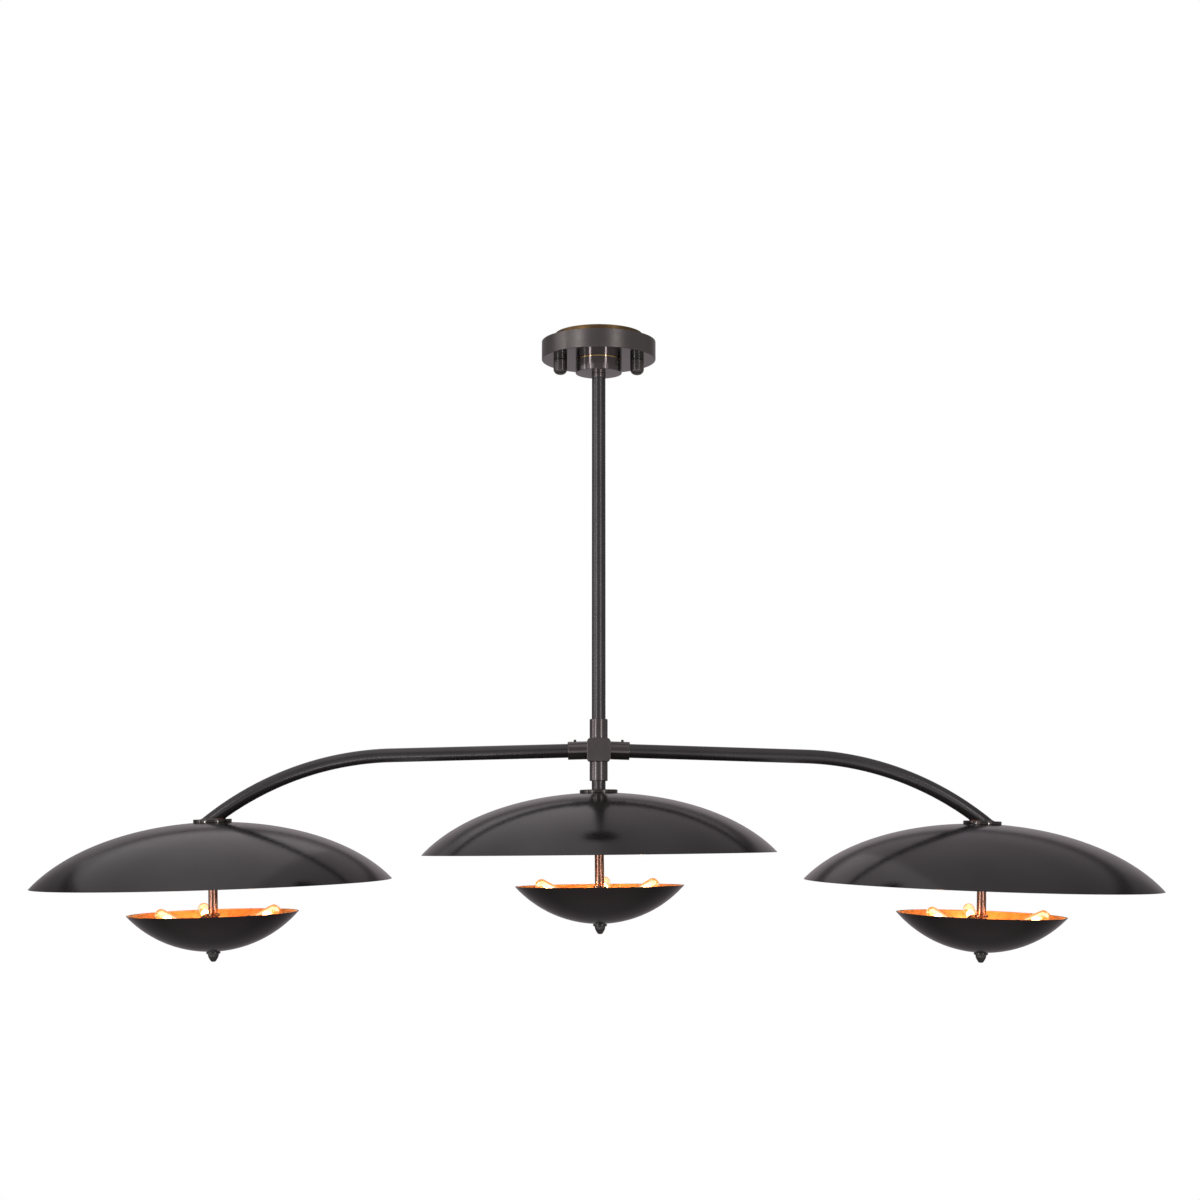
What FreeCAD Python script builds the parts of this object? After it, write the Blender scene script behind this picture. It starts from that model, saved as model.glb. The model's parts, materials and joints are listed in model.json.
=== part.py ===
import FreeCAD, Part
import math
import os
import Sketcher

# Linear three-lamp ceiling light with dished metal shades.
# Origin: centre of the face that lies against the ceiling. +Z is up, the arms lie along X.
# Each lamp has a frame of its own, at the top of its shade, and each bulb one at its socket's mouth.

driving_sizes = {
    "plate_edge_gap": (6.55, "stud's axis to the edge of the ceiling plate, a pressed pan that faces down"),
    "plate_depth": (12, "pan depth"),
    "plate_wall": (1.6, "pan sheet"),
    "plate_wire_dia": (24, "wire hole in the pan"),
    "slot_edge_gap": (4, "end of a junction box slot to the pan's edge"),
    "slot_length": (14, "slot length over its round ends"),
    "slot_width": (5, "slot for a box screw"),
    "stud_spacing": (88.9, "canopy studs, 3.5 inches apart"),
    "stud_dia": (4.2, "stud thread"),
    "stud_nut_dia": (8.6, "stud nut across its corners"),
    "stud_nut_height": (3.2, "stud nut"),
    "ground_place": (27, "ground screw from the centre"),
    "ground_turn": (40, "ground screw's direction from the arms"),
    "ground_dia": (4, "ground screw thread"),
    "ground_head_dia": (8.5, "ground screw head"),
    "ground_head_height": (2.4, "ground screw head"),
    "canopy_gap": (8.4, "ceiling to the canopy's upper rim"),
    "canopy_dia": (132, "canopy"),
    "canopy_height": (21.4, "canopy"),
    "canopy_wall": (1.2, "canopy sheet"),
    "canopy_edge": (0.8, "rounding of the canopy's lower edge"),
    "cap_nut_dia": (16, "cap nut"),
    "cap_nut_height": (17, "cap nut"),
    "cap_nut_round": (6.3, "rounding of the cap nut's end"),
    "cap_nut_depth": (11, "threaded depth of the cap nut"),
    "washer_dia": (52, "brass friction washer"),
    "washer_thick": (0.7, "brass friction washer"),
    "collar_dia": (53.6, "collar under the canopy"),
    "collar_height": (15.7, "collar with its washer"),
    "collar_wall": (2, "collar"),
    "collar_edge": (0.6, "rounding of the collar's lower edge"),
    "nipple_dia": (12.6, "swivel nipple"),
    "nipple_wall": (1.5, "swivel nipple"),
    "nipple_rise": (8.5, "nipple above the canopy's floor"),
    "nipple_fall": (16, "nipple below the collar"),
    "stop_washer_dia": (26, "stop washer"),
    "stop_washer_thick": (1.4, "stop washer"),
    "stop_tab_width": (5.6, "tab of the stop washer"),
    "stop_tab_reach": (18, "tab's end from the axis"),
    "stop_pin_place": (16, "stop pin from the axis"),
    "stop_pin_dia": (2.4, "stop pin on the canopy's floor"),
    "stop_pin_height": (3.4, "stop pin"),
    "locknut_dia": (19, "lock nut across its corners"),
    "locknut_height": (4.2, "lock nut"),
    "coupler_height": (5.4, "coupler"),
    "coupler_step": (0.35, "coupler proud of the stem"),
    "tube_dia": (15.7, "stem and arms"),
    "tube_wall": (1.2, "stem and arms"),
    "hub_drop": (481, "ceiling to the hub's centre"),
    "hub_side": (27, "hub block"),
    "hub_chamfer": (1, "hub block's edges"),
    "hub_round": (5, "hub block's four corners, as seen from the front"),
    "socket_dia": (20.5, "round sockets of the hub"),
    "socket_reach": (35, "hub's centre to a socket's mouth"),
    "socket_hold": (15, "length of tube in a socket"),
    "hub_bore": (11, "wire passage through the hub"),
    "set_screw_place": (26.6, "set screw from the hub's centre"),
    "set_screw_dia": (3, "set screw"),
    "set_screw_proud": (2.1, "set screw above the socket"),
    "set_screw_hex": (1.5, "key hole of the set screw, across its flats"),
    "set_screw_hex_depth": (1.6, "key hole of the set screw"),
    "arm_straight": (235, "hub's centre to the start of the bend"),
    "arm_bend_radius": (339, "bend of the arm's centre line"),
    "arm_bend_angle": (36.5, "turn of the bend"),
    "arm_overrun": (4, "extra turn that the flange's plane cuts away"),
    "sag_left": (1.5, "droop of the left arm in its socket"),
    "sag_right": (1.75, "droop of the right arm in its socket"),
    "lean_left": (1.05, "left arm's roll in its socket, underside to the front"),
    "lean_right": (1.1, "right arm's roll in its socket, underside to the front"),
    "centre_drop": (48.6, "hub's centre to the top of the middle shade"),
    "centre_tilt": (0.6, "droop of the middle lamp to the left"),
    "flange_dia": (43, "flange on the shade"),
    "flange_thick": (3.8, "flange"),
    "shade_dia": (400, "shade's rim"),
    "shade_depth": (68, "shade, top to rim"),
    "shade_beyond": (25, "how far the ellipse of the shade's outline runs past the rim"),
    "shade_flat_dia": (44, "flat seat under the flange"),
    "shade_wall": (1.2, "shade sheet"),
    "shade_nut_dia": (20, "nut under the shade, across its corners"),
    "shade_nut_height": (5, "nut under the shade"),
    "rod_dia": (8, "threaded rod through flange, shade and spindle"),
    "rod_bore": (5, "wire way through the rod"),
    "spindle_dia": (10.5, "spindle tube"),
    "gap_side": (33, "outer lamps, shade's rim to bowl's rim"),
    "gap_centre": (35.6, "middle lamp, shade's rim to bowl's rim"),
    "bowl_dia": (190.6, "bowl's rim"),
    "bowl_depth": (42.4, "bowl, rim to underside"),
    "bowl_wall": (1.2, "bowl sheet"),
    "bowl_hole_dia": (6.6, "hole in the bowl for the stud"),
    "check_dia": (15.8, "ring at the top of the cluster"),
    "check_height": (3, "ring at the top of the cluster"),
    "check_drop": (0.3, "ring's top under the bowl's rim plane"),
    "waist_dia": (12, "cluster's waist under the ring"),
    "cone_top": (15.6, "cluster's cone starts this far under the rim plane"),
    "cone_height": (17, "height of the cone that carries the sockets"),
    "foot_height": (4.4, "drum between the cone and the foot"),
    "foot_dia": (17, "cluster's foot that stands in the bowl"),
    "stud_end_dia": (5.8, "stud that takes the finial"),
    "stud_end_reach": (6.6, "stud below the bowl"),
    "finial_dia": (15.8, "finial's disc"),
    "finial_disc": (2.5, "finial's disc"),
    "finial_neck_dia": (12.4, "finial under its disc"),
    "finial_tip_dia": (5.6, "finial at its tip"),
    "finial_height": (11.2, "finial"),
    "lamp_rise": (26.5, "bulbs above the horizontal"),
    "mouth_reach": (46, "socket's mouth from the spindle's axis"),
    "mouth_drop": (11, "socket's mouth under the bowl's rim plane"),
    "sleeve_dia": (19, "socket sleeve"),
    "sleeve_length": (33.5, "socket sleeve"),
    "sleeve_wall": (0.9, "socket sleeve"),
    "sleeve_web": (2, "floor under the ceramic insert"),
    "spigot_dia": (11, "spigot of the cluster in the sleeve"),
    "spigot_length": (8, "spigot of the cluster in the sleeve"),
    "insert_depth": (20, "ceramic insert"),
    "insert_sunk": (1, "ceramic insert under the mouth"),
    "slot_deep": (11.5, "bulb slot in the insert"),
    "pin_hole_dia": (1.8, "pin hole in the insert"),
    "pin_spacing": (9, "bulb pins, centre to centre"),
    "pin_dia": (1.2, "bulb pin"),
    "pin_length": (7, "bulb pin"),
    "foot_wide": (11.6, "pinched glass foot of the bulb"),
    "foot_thick": (4, "pinched glass foot of the bulb"),
    "glass_dia": (14, "bulb"),
    "glass_base": (3, "bulb's base in front of the mouth"),
    "glass_reach": (36, "bulb's tip in front of the mouth"),
    "glass_wall": (0.9, "bulb"),
    "glass_floor": (3.4, "solid glass under the filament"),
    "glass_round": (6, "rounding of the bulb's outer end"),
    "tip_dia": (3.2, "sealing tip of the bulb"),
    "tip_height": (1.6, "sealing tip of the bulb"),
    "filament_dia": (2.2, "filament coil's outer size"),
    "filament_length": (16, "filament coil"),
    "filament_post": (3, "post under the filament"),
    "filament_post_dia": (0.9, "post under the filament"),
    "fit": (0.1, "radial play of a fit"),
    "seat": (0.3, "play under a seat"),
    "overrun": (5, "how far a cut runs past the metal"),
    "turn_left": (48.4, "first socket of the left lamp, from its arm"),
    "turn_centre": (84.7, "first socket of the middle lamp, from the right arm"),
    "turn_right": (90, "first socket of the right lamp, from its arm"),
    "bulb_count": (3, "bulbs of one lamp"),
}


class Size:
    # A length, angle or count with the words that bind it to the sheet
    def __init__(self, value, text):
        self.value = float(value)
        self.text = text

    def __add__(self, other):
        return Size(self.value + number(other), f"({self.text} + {words(other)})")

    def __sub__(self, other):
        return Size(self.value - number(other), f"({self.text} - {words(other)})")

    def __mul__(self, other):
        return Size(self.value * number(other), f"({self.text} * {words(other)})")

    def __truediv__(self, other):
        return Size(self.value / number(other), f"({self.text} / {words(other)})")

    def __neg__(self):
        return Size(-self.value, f"(0 - {self.text})")


def number(item):
    return item.value if isinstance(item, Size) else float(item)


def words(item):
    return item.text if isinstance(item, Size) else str(item)


def sine(angle):
    return Size(math.sin(math.radians(angle.value)), f"sin({angle.text} * 1 deg)")


def cosine(angle):
    return Size(math.cos(math.radians(angle.value)), f"cos({angle.text} * 1 deg)")


def root(item):
    return Size(math.sqrt(item.value), f"sqrt({item.text})")


def half(item):
    return item / 2


doc = FreeCAD.newDocument("ceiling_light")
sheet = doc.addObject("Spreadsheet::Sheet", "Sizes")
for row, (alias, (value, note)) in enumerate(driving_sizes.items(), start=1):
    sheet.set(f"A{row}", alias)
    sheet.set(f"B{row}", str(value))
    sheet.set(f"C{row}", note)
    sheet.setAlias(f"B{row}", alias)
doc.recompute()


class Dims:
    pass


dim = Dims()
for alias in driving_sizes:
    setattr(dim, alias, Size(sheet.get(alias), f"Sizes.{alias}"))

# Sizes and places that follow from the driving ones
whole = Size(1, "1")
quarter_turn = Size(90, "90")
canopy_floor = dim.canopy_gap + dim.canopy_height
canopy_inside = canopy_floor - dim.canopy_wall
collar_top = canopy_floor + dim.washer_thick
collar_bottom = canopy_floor + dim.collar_height
coupler_bottom = collar_bottom + dim.coupler_height
socket_floor = dim.socket_reach - dim.socket_hold
arm_reach = dim.arm_straight + dim.arm_bend_radius * sine(dim.arm_bend_angle)
arm_drop = dim.arm_bend_radius * (whole - cosine(dim.arm_bend_angle))
lamp_drop = arm_drop + dim.flange_thick
shade_wide = dim.shade_dia + dim.shade_beyond * 2
shade_half = half(shade_wide)
flat_share = half(dim.shade_flat_dia) / shade_half
rim_share = half(dim.shade_dia) / shade_half
flat_level_share = root(whole - flat_share * flat_share)
rim_level_share = root(whole - rim_share * rim_share)
shade_high = dim.shade_depth / (flat_level_share - rim_level_share)
shade_centre = shade_high * flat_level_share
bowl_radius = (half(dim.bowl_dia) * half(dim.bowl_dia) + dim.bowl_depth * dim.bowl_depth) / (dim.bowl_depth * 2)
foot_rise = bowl_radius - root(bowl_radius * bowl_radius - half(dim.foot_dia) * half(dim.foot_dia))
foot_bottom = dim.bowl_depth - dim.bowl_wall - foot_rise - dim.seat
nipple_top = canopy_inside - dim.nipple_rise
plate_outer = half(dim.stud_spacing) + dim.plate_edge_gap
slot_place = plate_outer - dim.slot_edge_gap - half(dim.slot_length)
ground_across = dim.ground_place * cosine(dim.ground_turn)
ground_along = dim.ground_place * sine(dim.ground_turn)
spindle_top = dim.shade_wall + dim.shade_nut_height + dim.fit * 2
rise_slope = sine(dim.lamp_rise) / cosine(dim.lamp_rise)
sleeve_seat_reach = dim.mouth_reach - dim.sleeve_length * cosine(dim.lamp_rise)
sleeve_seat_drop = dim.mouth_drop + dim.sleeve_length * sine(dim.lamp_rise)
cone_radius = sleeve_seat_reach - (sleeve_seat_drop - dim.cone_top) * rise_slope - dim.fit
foot_sunk = dim.insert_sunk + dim.slot_deep - dim.seat


def new_body(label):
    body = doc.addObject("PartDesign::Body", label)
    body.Label = label
    body.AllowCompound = True
    return body


def plane_of(body, role):
    return [item for item in body.Origin.OriginFeatures if item.Role == role][0]


def new_sketch(body, role, name, place=None):
    sketch = body.newObject("Sketcher::SketchObject", f"{body.Label}_{name}")
    sketch.AttachmentSupport = [(plane_of(body, role), "")]
    sketch.MapMode = "FlatFace"
    if place:
        sketch.setExpression("AttachmentOffset", place)
    return sketch


def placed(x=0, y=0, z=0, axis="0; 0; 1", angle=0):
    # The words of a placement whose numbers come from the sheet
    return f"placement(vector({words(x)}; {words(y)}; {words(z)}); rotation(vector({axis}); {words(angle)}))"


def seated(item, *steps):
    item.setExpression("Placement", " * ".join(steps))
    return item


def bind(sketch, constraint, size):
    index = sketch.addConstraint(constraint)
    if isinstance(size, Size):
        sketch.setExpression(f"Constraints[{index}]", size.text)


def hold(sketch, geometry, end, across, size):
    # Ties one coordinate of a point to its size, or to the axis where it is zero
    if not isinstance(size, Size):
        sketch.addConstraint(Sketcher.Constraint("PointOnObject", geometry, end, -2 if across else -1))
        return
    kind = "DistanceX" if across else "DistanceY"
    bind(sketch, Sketcher.Constraint(kind, -1, 1, geometry, end, size.value), size)


def circle(sketch, x, y, dia):
    place = FreeCAD.Vector(number(x), number(y), 0)
    index = sketch.addGeometry(Part.Circle(place, FreeCAD.Vector(0, 0, 1), number(dia) / 2), False)
    if isinstance(x, Size) or isinstance(y, Size):
        hold(sketch, index, 3, True, x)
        hold(sketch, index, 3, False, y)
    else:
        sketch.addConstraint(Sketcher.Constraint("Coincident", index, 3, -1, 1))
    bind(sketch, Sketcher.Constraint("Diameter", index, dia.value), dia)
    return index


def arc_between(start, end, centre):
    # The short arc from start to end; one coordinate of its centre is given, the other follows
    kind, size = centre
    middle = (start + end) * 0.5
    across = end - start
    if kind == "x":
        x = number(size)
        y = middle.y - (x - middle.x) * across.x / across.y
    else:
        y = number(size)
        x = middle.x - (y - middle.y) * across.y / across.x
    pivot = FreeCAD.Vector(x, y, 0)
    outward = (middle - pivot).normalize() * (start - pivot).Length
    return Part.Arc(start, pivot + outward, end)


def outline(sketch, points, arcs=None):
    # Closed outline of lines and arcs through points given by sizes; arcs maps an index to a centre
    arcs = arcs or {}
    corners = [FreeCAD.Vector(number(x), number(y), 0) for x, y in points]
    ends = []
    for index, start in enumerate(corners):
        finish = corners[(index + 1) % len(corners)]
        if index in arcs:
            edge = sketch.addGeometry(arc_between(start, finish, arcs[index]), False)
        else:
            edge = sketch.addGeometry(Part.LineSegment(start, finish), False)
        flipped = (sketch.getPoint(edge, 1) - start).Length > (sketch.getPoint(edge, 2) - start).Length
        ends.append((edge, 2, 1) if flipped else (edge, 1, 2))
    for index, (edge, first, last) in enumerate(ends):
        after = ends[(index + 1) % len(ends)]
        sketch.addConstraint(Sketcher.Constraint("Coincident", edge, last, after[0], after[1]))
    for (edge, first, last), (x, y) in zip(ends, points):
        if isinstance(x, Size) or isinstance(y, Size):
            hold(sketch, edge, first, True, x)
            hold(sketch, edge, first, False, y)
        else:
            sketch.addConstraint(Sketcher.Constraint("Coincident", edge, first, -1, 1))
    for index, (kind, size) in arcs.items():
        hold(sketch, ends[index][0], 3, kind == "x", size)


def revolve(body, sketch, kind="PartDesign::Revolution"):
    feature = body.newObject(kind, f"{body.Label}_turn")
    feature.Profile = sketch
    feature.ReferenceAxis = (sketch, ["V_Axis"])
    feature.Angle = 360
    sketch.Visibility = False
    return feature


def turned(label, points, arcs=None):
    # A lathe piece: the outline is half of its section, with the axis at x = 0
    body = new_body(label)
    sketch = new_sketch(body, "XZ_Plane", "section")
    outline(sketch, points, arcs)
    revolve(body, sketch)
    return body


def ring(label, inner, outer, top, bottom):
    return turned(label, [(half(inner), top), (half(outer), top), (half(outer), bottom), (half(inner), bottom)])


def pad(body, sketch, length, down=False):
    feature = body.newObject("PartDesign::Pad", f"{sketch.Label}_pad")
    feature.Profile = sketch
    feature.setExpression("Length", words(length))
    feature.Reversed = down
    return feature


def pocket(body, sketch, depth=None, up=False):
    # Cuts against the sketch's normal, or along it where up is set; right through without a depth
    feature = body.newObject("PartDesign::Pocket", f"{sketch.Label}_cut")
    feature.Profile = sketch
    feature.Reversed = up
    if depth is None:
        feature.Type = 1
    else:
        feature.setExpression("Length", words(depth))
    return feature


def drill(body, name, places, dia, top):
    # Round holes right through, cut downwards from the height of top
    sketch = new_sketch(body, "XY_Plane", name, placed(z=top))
    for x, y in places:
        circle(sketch, x, y, dia)
    pocket(body, sketch)


def rectangle(sketch, wide, deep):
    x = half(wide)
    y = half(deep)
    outline(sketch, [(x, y), (-x, y), (-x, -y), (x, -y)])


def round_rings(body, radius, height, size):
    # Rounds the circular edges of one radius at one height
    doc.recompute()
    base = body.Tip
    names = []
    for index, edge in enumerate(base.Shape.Edges, start=1):
        if not isinstance(edge.Curve, Part.Circle):
            continue
        level = abs(edge.Curve.Center.z - number(height)) < number(dim.fit)
        if level and abs(edge.Curve.Radius - number(radius)) < number(dim.fit):
            names.append(f"Edge{index}")
    fillet = body.newObject("PartDesign::Fillet", f"{body.Label}_round")
    fillet.Base = (base, names)
    fillet.setExpression("Radius", words(size))


def hexagon(sketch, corners_dia):
    # Six-sided outline with two corners on the sketch's X axis
    radius = half(corners_dia)
    side = radius / 2
    rise = radius * root(Size(3, "3")) / 2
    outline(sketch, [(radius, 0), (side, rise), (-side, rise), (-radius, 0), (-side, -rise), (side, -rise)])


def nut(label, corners_dia, bore, height, top):
    body = new_body(label)
    sketch = new_sketch(body, "XY_Plane", "section", placed(z=top))
    hexagon(sketch, corners_dia)
    circle(sketch, 0, 0, bore)
    pad(body, sketch, height, down=True)
    return body


def group(label, members):
    item = doc.addObject("Part::Compound", label)
    item.Label = label
    item.Links = members
    return item


nodes = []


def keep(item):
    nodes.append(item)
    return item


# Ceiling plate, canopy and what hangs them

def mounting_plate():
    outer = plate_outer
    inner = outer - dim.plate_wall
    hole = half(dim.plate_wire_dia)
    body = turned("mounting_plate", [
        (hole, 0), (outer, 0), (outer, -dim.plate_depth), (inner, -dim.plate_depth),
        (inner, -dim.plate_wall), (hole, -dim.plate_wall)])
    stud = half(dim.stud_spacing)
    drill(body, "stud_holes", [(stud, 0), (-stud, 0)], dim.stud_dia + dim.fit * 2, dim.overrun)
    drill(body, "ground_hole", [(ground_across, ground_along)], dim.ground_dia + dim.fit * 2, dim.overrun)
    for name, side in (("front", -1), ("back", 1)):
        sketch = new_sketch(body, "XY_Plane", f"{name}_slot", placed(z=dim.overrun))
        box_slot(sketch, slot_place * side)
        pocket(body, sketch)
    return keep(body)


def box_slot(sketch, middle):
    # Slot along Y with round ends
    wide = half(dim.slot_width)
    run = half(dim.slot_length - dim.slot_width)
    points = [(wide, middle + run), (-wide, middle + run), (-wide, middle - run), (wide, middle - run)]
    corners = [FreeCAD.Vector(number(x), number(y), 0) for x, y in points]
    far = corners[0] + (corners[1] - corners[0]) * 0.5 + FreeCAD.Vector(0, number(wide), 0)
    near = corners[2] + (corners[3] - corners[2]) * 0.5 - FreeCAD.Vector(0, number(wide), 0)
    first = sketch.addGeometry(Part.Arc(corners[0], far, corners[1]), False)
    left = sketch.addGeometry(Part.LineSegment(corners[1], corners[2]), False)
    second = sketch.addGeometry(Part.Arc(corners[2], near, corners[3]), False)
    right = sketch.addGeometry(Part.LineSegment(corners[3], corners[0]), False)
    sketch.addConstraint(Sketcher.Constraint("Tangent", first, 2, left, 1))
    sketch.addConstraint(Sketcher.Constraint("Tangent", left, 2, second, 1))
    sketch.addConstraint(Sketcher.Constraint("Tangent", second, 2, right, 1))
    sketch.addConstraint(Sketcher.Constraint("Tangent", right, 2, first, 1))
    hold(sketch, first, 3, True, 0)
    hold(sketch, first, 3, False, middle + run)
    hold(sketch, second, 3, True, 0)
    hold(sketch, second, 3, False, middle - run)
    bind(sketch, Sketcher.Constraint("Radius", first, number(wide)), wide)


def pair_on_x(label, make, distance):
    left = seated(make(f"left_{label}"), placed(x=-distance))
    right = seated(make(f"right_{label}"), placed(x=distance))
    return left, right


def plate_studs():
    bottom = canopy_floor + dim.cap_nut_depth - dim.seat

    def stud(label):
        radius = half(dim.stud_dia)
        return turned(label, [(0, 0), (radius, 0), (radius, -bottom), (0, -bottom)])

    keep(group("plate_studs", pair_on_x("stud", stud, half(dim.stud_spacing))))


def stud_nuts():
    def one(label):
        return nut(label, dim.stud_nut_dia, dim.stud_dia + dim.fit * 2, dim.stud_nut_height, -dim.plate_wall)

    keep(group("stud_nuts", pair_on_x("stud_nut", one, half(dim.stud_spacing))))


def ground_screw():
    head = half(dim.ground_head_dia)
    shank = half(dim.ground_dia)
    floor = -dim.plate_wall
    body = turned("ground_screw", [
        (0, floor + dim.plate_wall), (shank, floor + dim.plate_wall), (shank, floor), (head, floor),
        (head, floor - dim.ground_head_height), (0, floor - dim.ground_head_height)])
    keep(seated(body, placed(x=ground_across, y=ground_along)))


def canopy():
    outer = half(dim.canopy_dia)
    inner = outer - dim.canopy_wall
    hole = half(dim.nipple_dia) + dim.fit
    body = turned("canopy", [
        (inner, -dim.canopy_gap), (outer, -dim.canopy_gap), (outer, -canopy_floor), (hole, -canopy_floor),
        (hole, -canopy_inside), (inner, -canopy_inside)])
    stud = half(dim.stud_spacing)
    drill(body, "stud_holes", [(stud, 0), (-stud, 0)], dim.stud_dia + dim.seat * 2, dim.overrun)
    sketch = new_sketch(body, "XY_Plane", "stop_pin", placed(z=-canopy_inside))
    circle(sketch, 0, -dim.stop_pin_place, dim.stop_pin_dia)
    pad(body, sketch, dim.stop_pin_height)
    round_rings(body, outer, -canopy_floor, dim.canopy_edge)
    keep(body)


def cap_nuts():
    outer = half(dim.cap_nut_dia)
    bore = half(dim.stud_dia) + dim.fit
    top = -canopy_floor
    bottom = top - dim.cap_nut_height
    shoulder = bottom + dim.cap_nut_round

    def one(label):
        return turned(label, [
            (bore, top), (outer, top), (outer, shoulder), (outer - dim.cap_nut_round, bottom), (0, bottom),
            (0, top - dim.cap_nut_depth), (bore, top - dim.cap_nut_depth)],
            {2: ("z", shoulder)})

    keep(group("cap_nuts", pair_on_x("cap_nut", one, half(dim.stud_spacing))))


def friction_washer():
    bore = dim.nipple_dia + dim.fit * 2
    keep(ring("friction_washer", bore, dim.washer_dia, -canopy_floor, -collar_top))


# Stem and hub, which turn on the canopy

def stem_collar():
    outer = half(dim.collar_dia)
    inner = outer - dim.collar_wall
    hole = half(dim.nipple_dia) + dim.fit
    top = -(collar_top + dim.fit)
    inside = -(collar_bottom - dim.collar_wall)
    body = turned("stem_collar", [
        (inner, top), (outer, top), (outer, -collar_bottom), (hole, -collar_bottom),
        (hole, inside), (inner, inside)])
    round_rings(body, outer, -collar_bottom, dim.collar_edge)
    keep(body)


def swivel_nipple():
    bore = dim.nipple_dia - dim.nipple_wall * 2
    keep(ring("swivel_nipple", bore, dim.nipple_dia, -nipple_top, -(collar_bottom + dim.nipple_fall)))


def stop_washer():
    top = -(canopy_inside - dim.fit)
    body = ring("stop_washer", dim.nipple_dia + dim.fit * 2, dim.stop_washer_dia,
                top + dim.stop_washer_thick, top)
    sketch = new_sketch(body, "XY_Plane", "tab", placed(z=top))
    side = half(dim.stop_tab_width)
    near = half(dim.nipple_dia) + dim.stop_washer_thick
    outline(sketch, [(side, near), (side, dim.stop_tab_reach), (-side, dim.stop_tab_reach), (-side, near)])
    pad(body, sketch, dim.stop_washer_thick)
    keep(body)


def swivel_locknut():
    top = -(canopy_inside - dim.fit - dim.stop_washer_thick - dim.locknut_height)
    bore = dim.nipple_dia + dim.fit * 2
    keep(nut("swivel_locknut", dim.locknut_dia, bore, dim.locknut_height, top))


def stem_coupler():
    outer = half(dim.tube_dia) + dim.coupler_step
    nipple = half(dim.nipple_dia) + dim.fit
    keep(turned("stem_coupler", [
        (nipple, -collar_bottom), (outer, -collar_bottom), (outer, -coupler_bottom),
        (nipple, -coupler_bottom)]))


def stem():
    bore = dim.tube_dia - dim.tube_wall * 2
    bottom = dim.hub_drop - socket_floor - dim.fit
    keep(ring("stem", bore, dim.tube_dia, -coupler_bottom, -bottom))


def tilted_cylinder(name, dia, length, *steps):
    item = doc.addObject("Part::Cylinder", name)
    item.setExpression("Radius", words(half(dia)))
    item.setExpression("Height", words(length))
    return seated(item, *steps)


def hub():
    middle = placed(z=-dim.hub_drop)
    box = doc.addObject("Part::Box", "hub_box")
    for side in ("Length", "Width", "Height"):
        box.setExpression(side, words(dim.hub_side))
    corner = -half(dim.hub_side)
    seated(box, middle, placed(x=corner, y=corner, z=corner))
    doc.recompute()
    width = dim.hub_chamfer.value
    radius = dim.hub_round.value
    rounded = doc.addObject("Part::Fillet", "hub_rounded")
    rounded.Base = box
    rounded.Edges = [(index + 1, radius, radius) for index, edge in enumerate(box.Shape.Edges)
                     if edge.BoundBox.YLength > width]
    doc.recompute()
    block = doc.addObject("Part::Chamfer", "hub_block")
    block.Base = rounded
    block.Edges = [(index + 1, width, width) for index, edge in enumerate(rounded.Shape.Edges)
                   if edge.BoundBox.YLength < width]
    doc.recompute()
    level = placed(axis="0; 1; 0", angle=90)
    down = placed(axis="0; 1; 0", angle=180)
    runs = {
        "up": [middle],
        "down": [middle, down],
        "right": [right_socket_frame, level],
        "left": [left_socket_frame, level],
    }
    sockets = [block]
    holes = []
    for name, steps in runs.items():
        sockets.append(tilted_cylinder(f"hub_socket_{name}", dim.socket_dia, dim.socket_reach, *steps))
        holes.append(tilted_cylinder(f"hub_way_{name}", dim.hub_bore, dim.socket_reach, *steps))
        seat_step = placed(z=socket_floor)
        bore = dim.tube_dia + dim.fit * 2
        holes.append(tilted_cylinder(f"hub_seat_{name}", bore, dim.socket_hold + dim.overrun, *steps, seat_step))
    for name in ("right", "left"):
        screw = [placed(x=dim.set_screw_place), placed(z=half(dim.tube_dia))]
        bore = dim.set_screw_dia + dim.fit * 2
        steps = runs[name][:-1] + screw
        holes.append(tilted_cylinder(f"hub_screw_{name}", bore, dim.socket_dia, *steps))
    body = doc.addObject("Part::MultiFuse", "hub_solid")
    body.Shapes = sockets
    tools = doc.addObject("Part::MultiFuse", "hub_holes")
    tools.Shapes = holes
    item = doc.addObject("Part::Cut", "hub")
    item.Base = body
    item.Tool = tools
    item.Label = "hub"
    keep(item)


def set_screws():
    top = half(dim.socket_dia) + dim.set_screw_proud
    bottom = half(dim.tube_dia) + dim.fit
    members = []
    for name, start in (("left", left_socket_frame), ("right", right_socket_frame)):
        radius = half(dim.set_screw_dia)
        body = turned(f"{name}_set_screw", [(0, top), (radius, top), (radius, bottom), (0, bottom)])
        sketch = new_sketch(body, "XY_Plane", "key", placed(z=top))
        hexagon(sketch, dim.set_screw_hex * 2 / root(Size(3, "3")))
        pocket(body, sketch, dim.set_screw_hex_depth)
        members.append(seated(body, start, placed(x=dim.set_screw_place)))
    keep(group("set_screws", members))


def lower_stem():
    bore = dim.tube_dia - dim.tube_wall * 2
    top = dim.hub_drop + socket_floor + dim.fit
    bottom = dim.hub_drop + dim.centre_drop - dim.flange_thick - dim.fit
    keep(ring("lower_stem", bore, dim.tube_dia, -top, -bottom))


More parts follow.
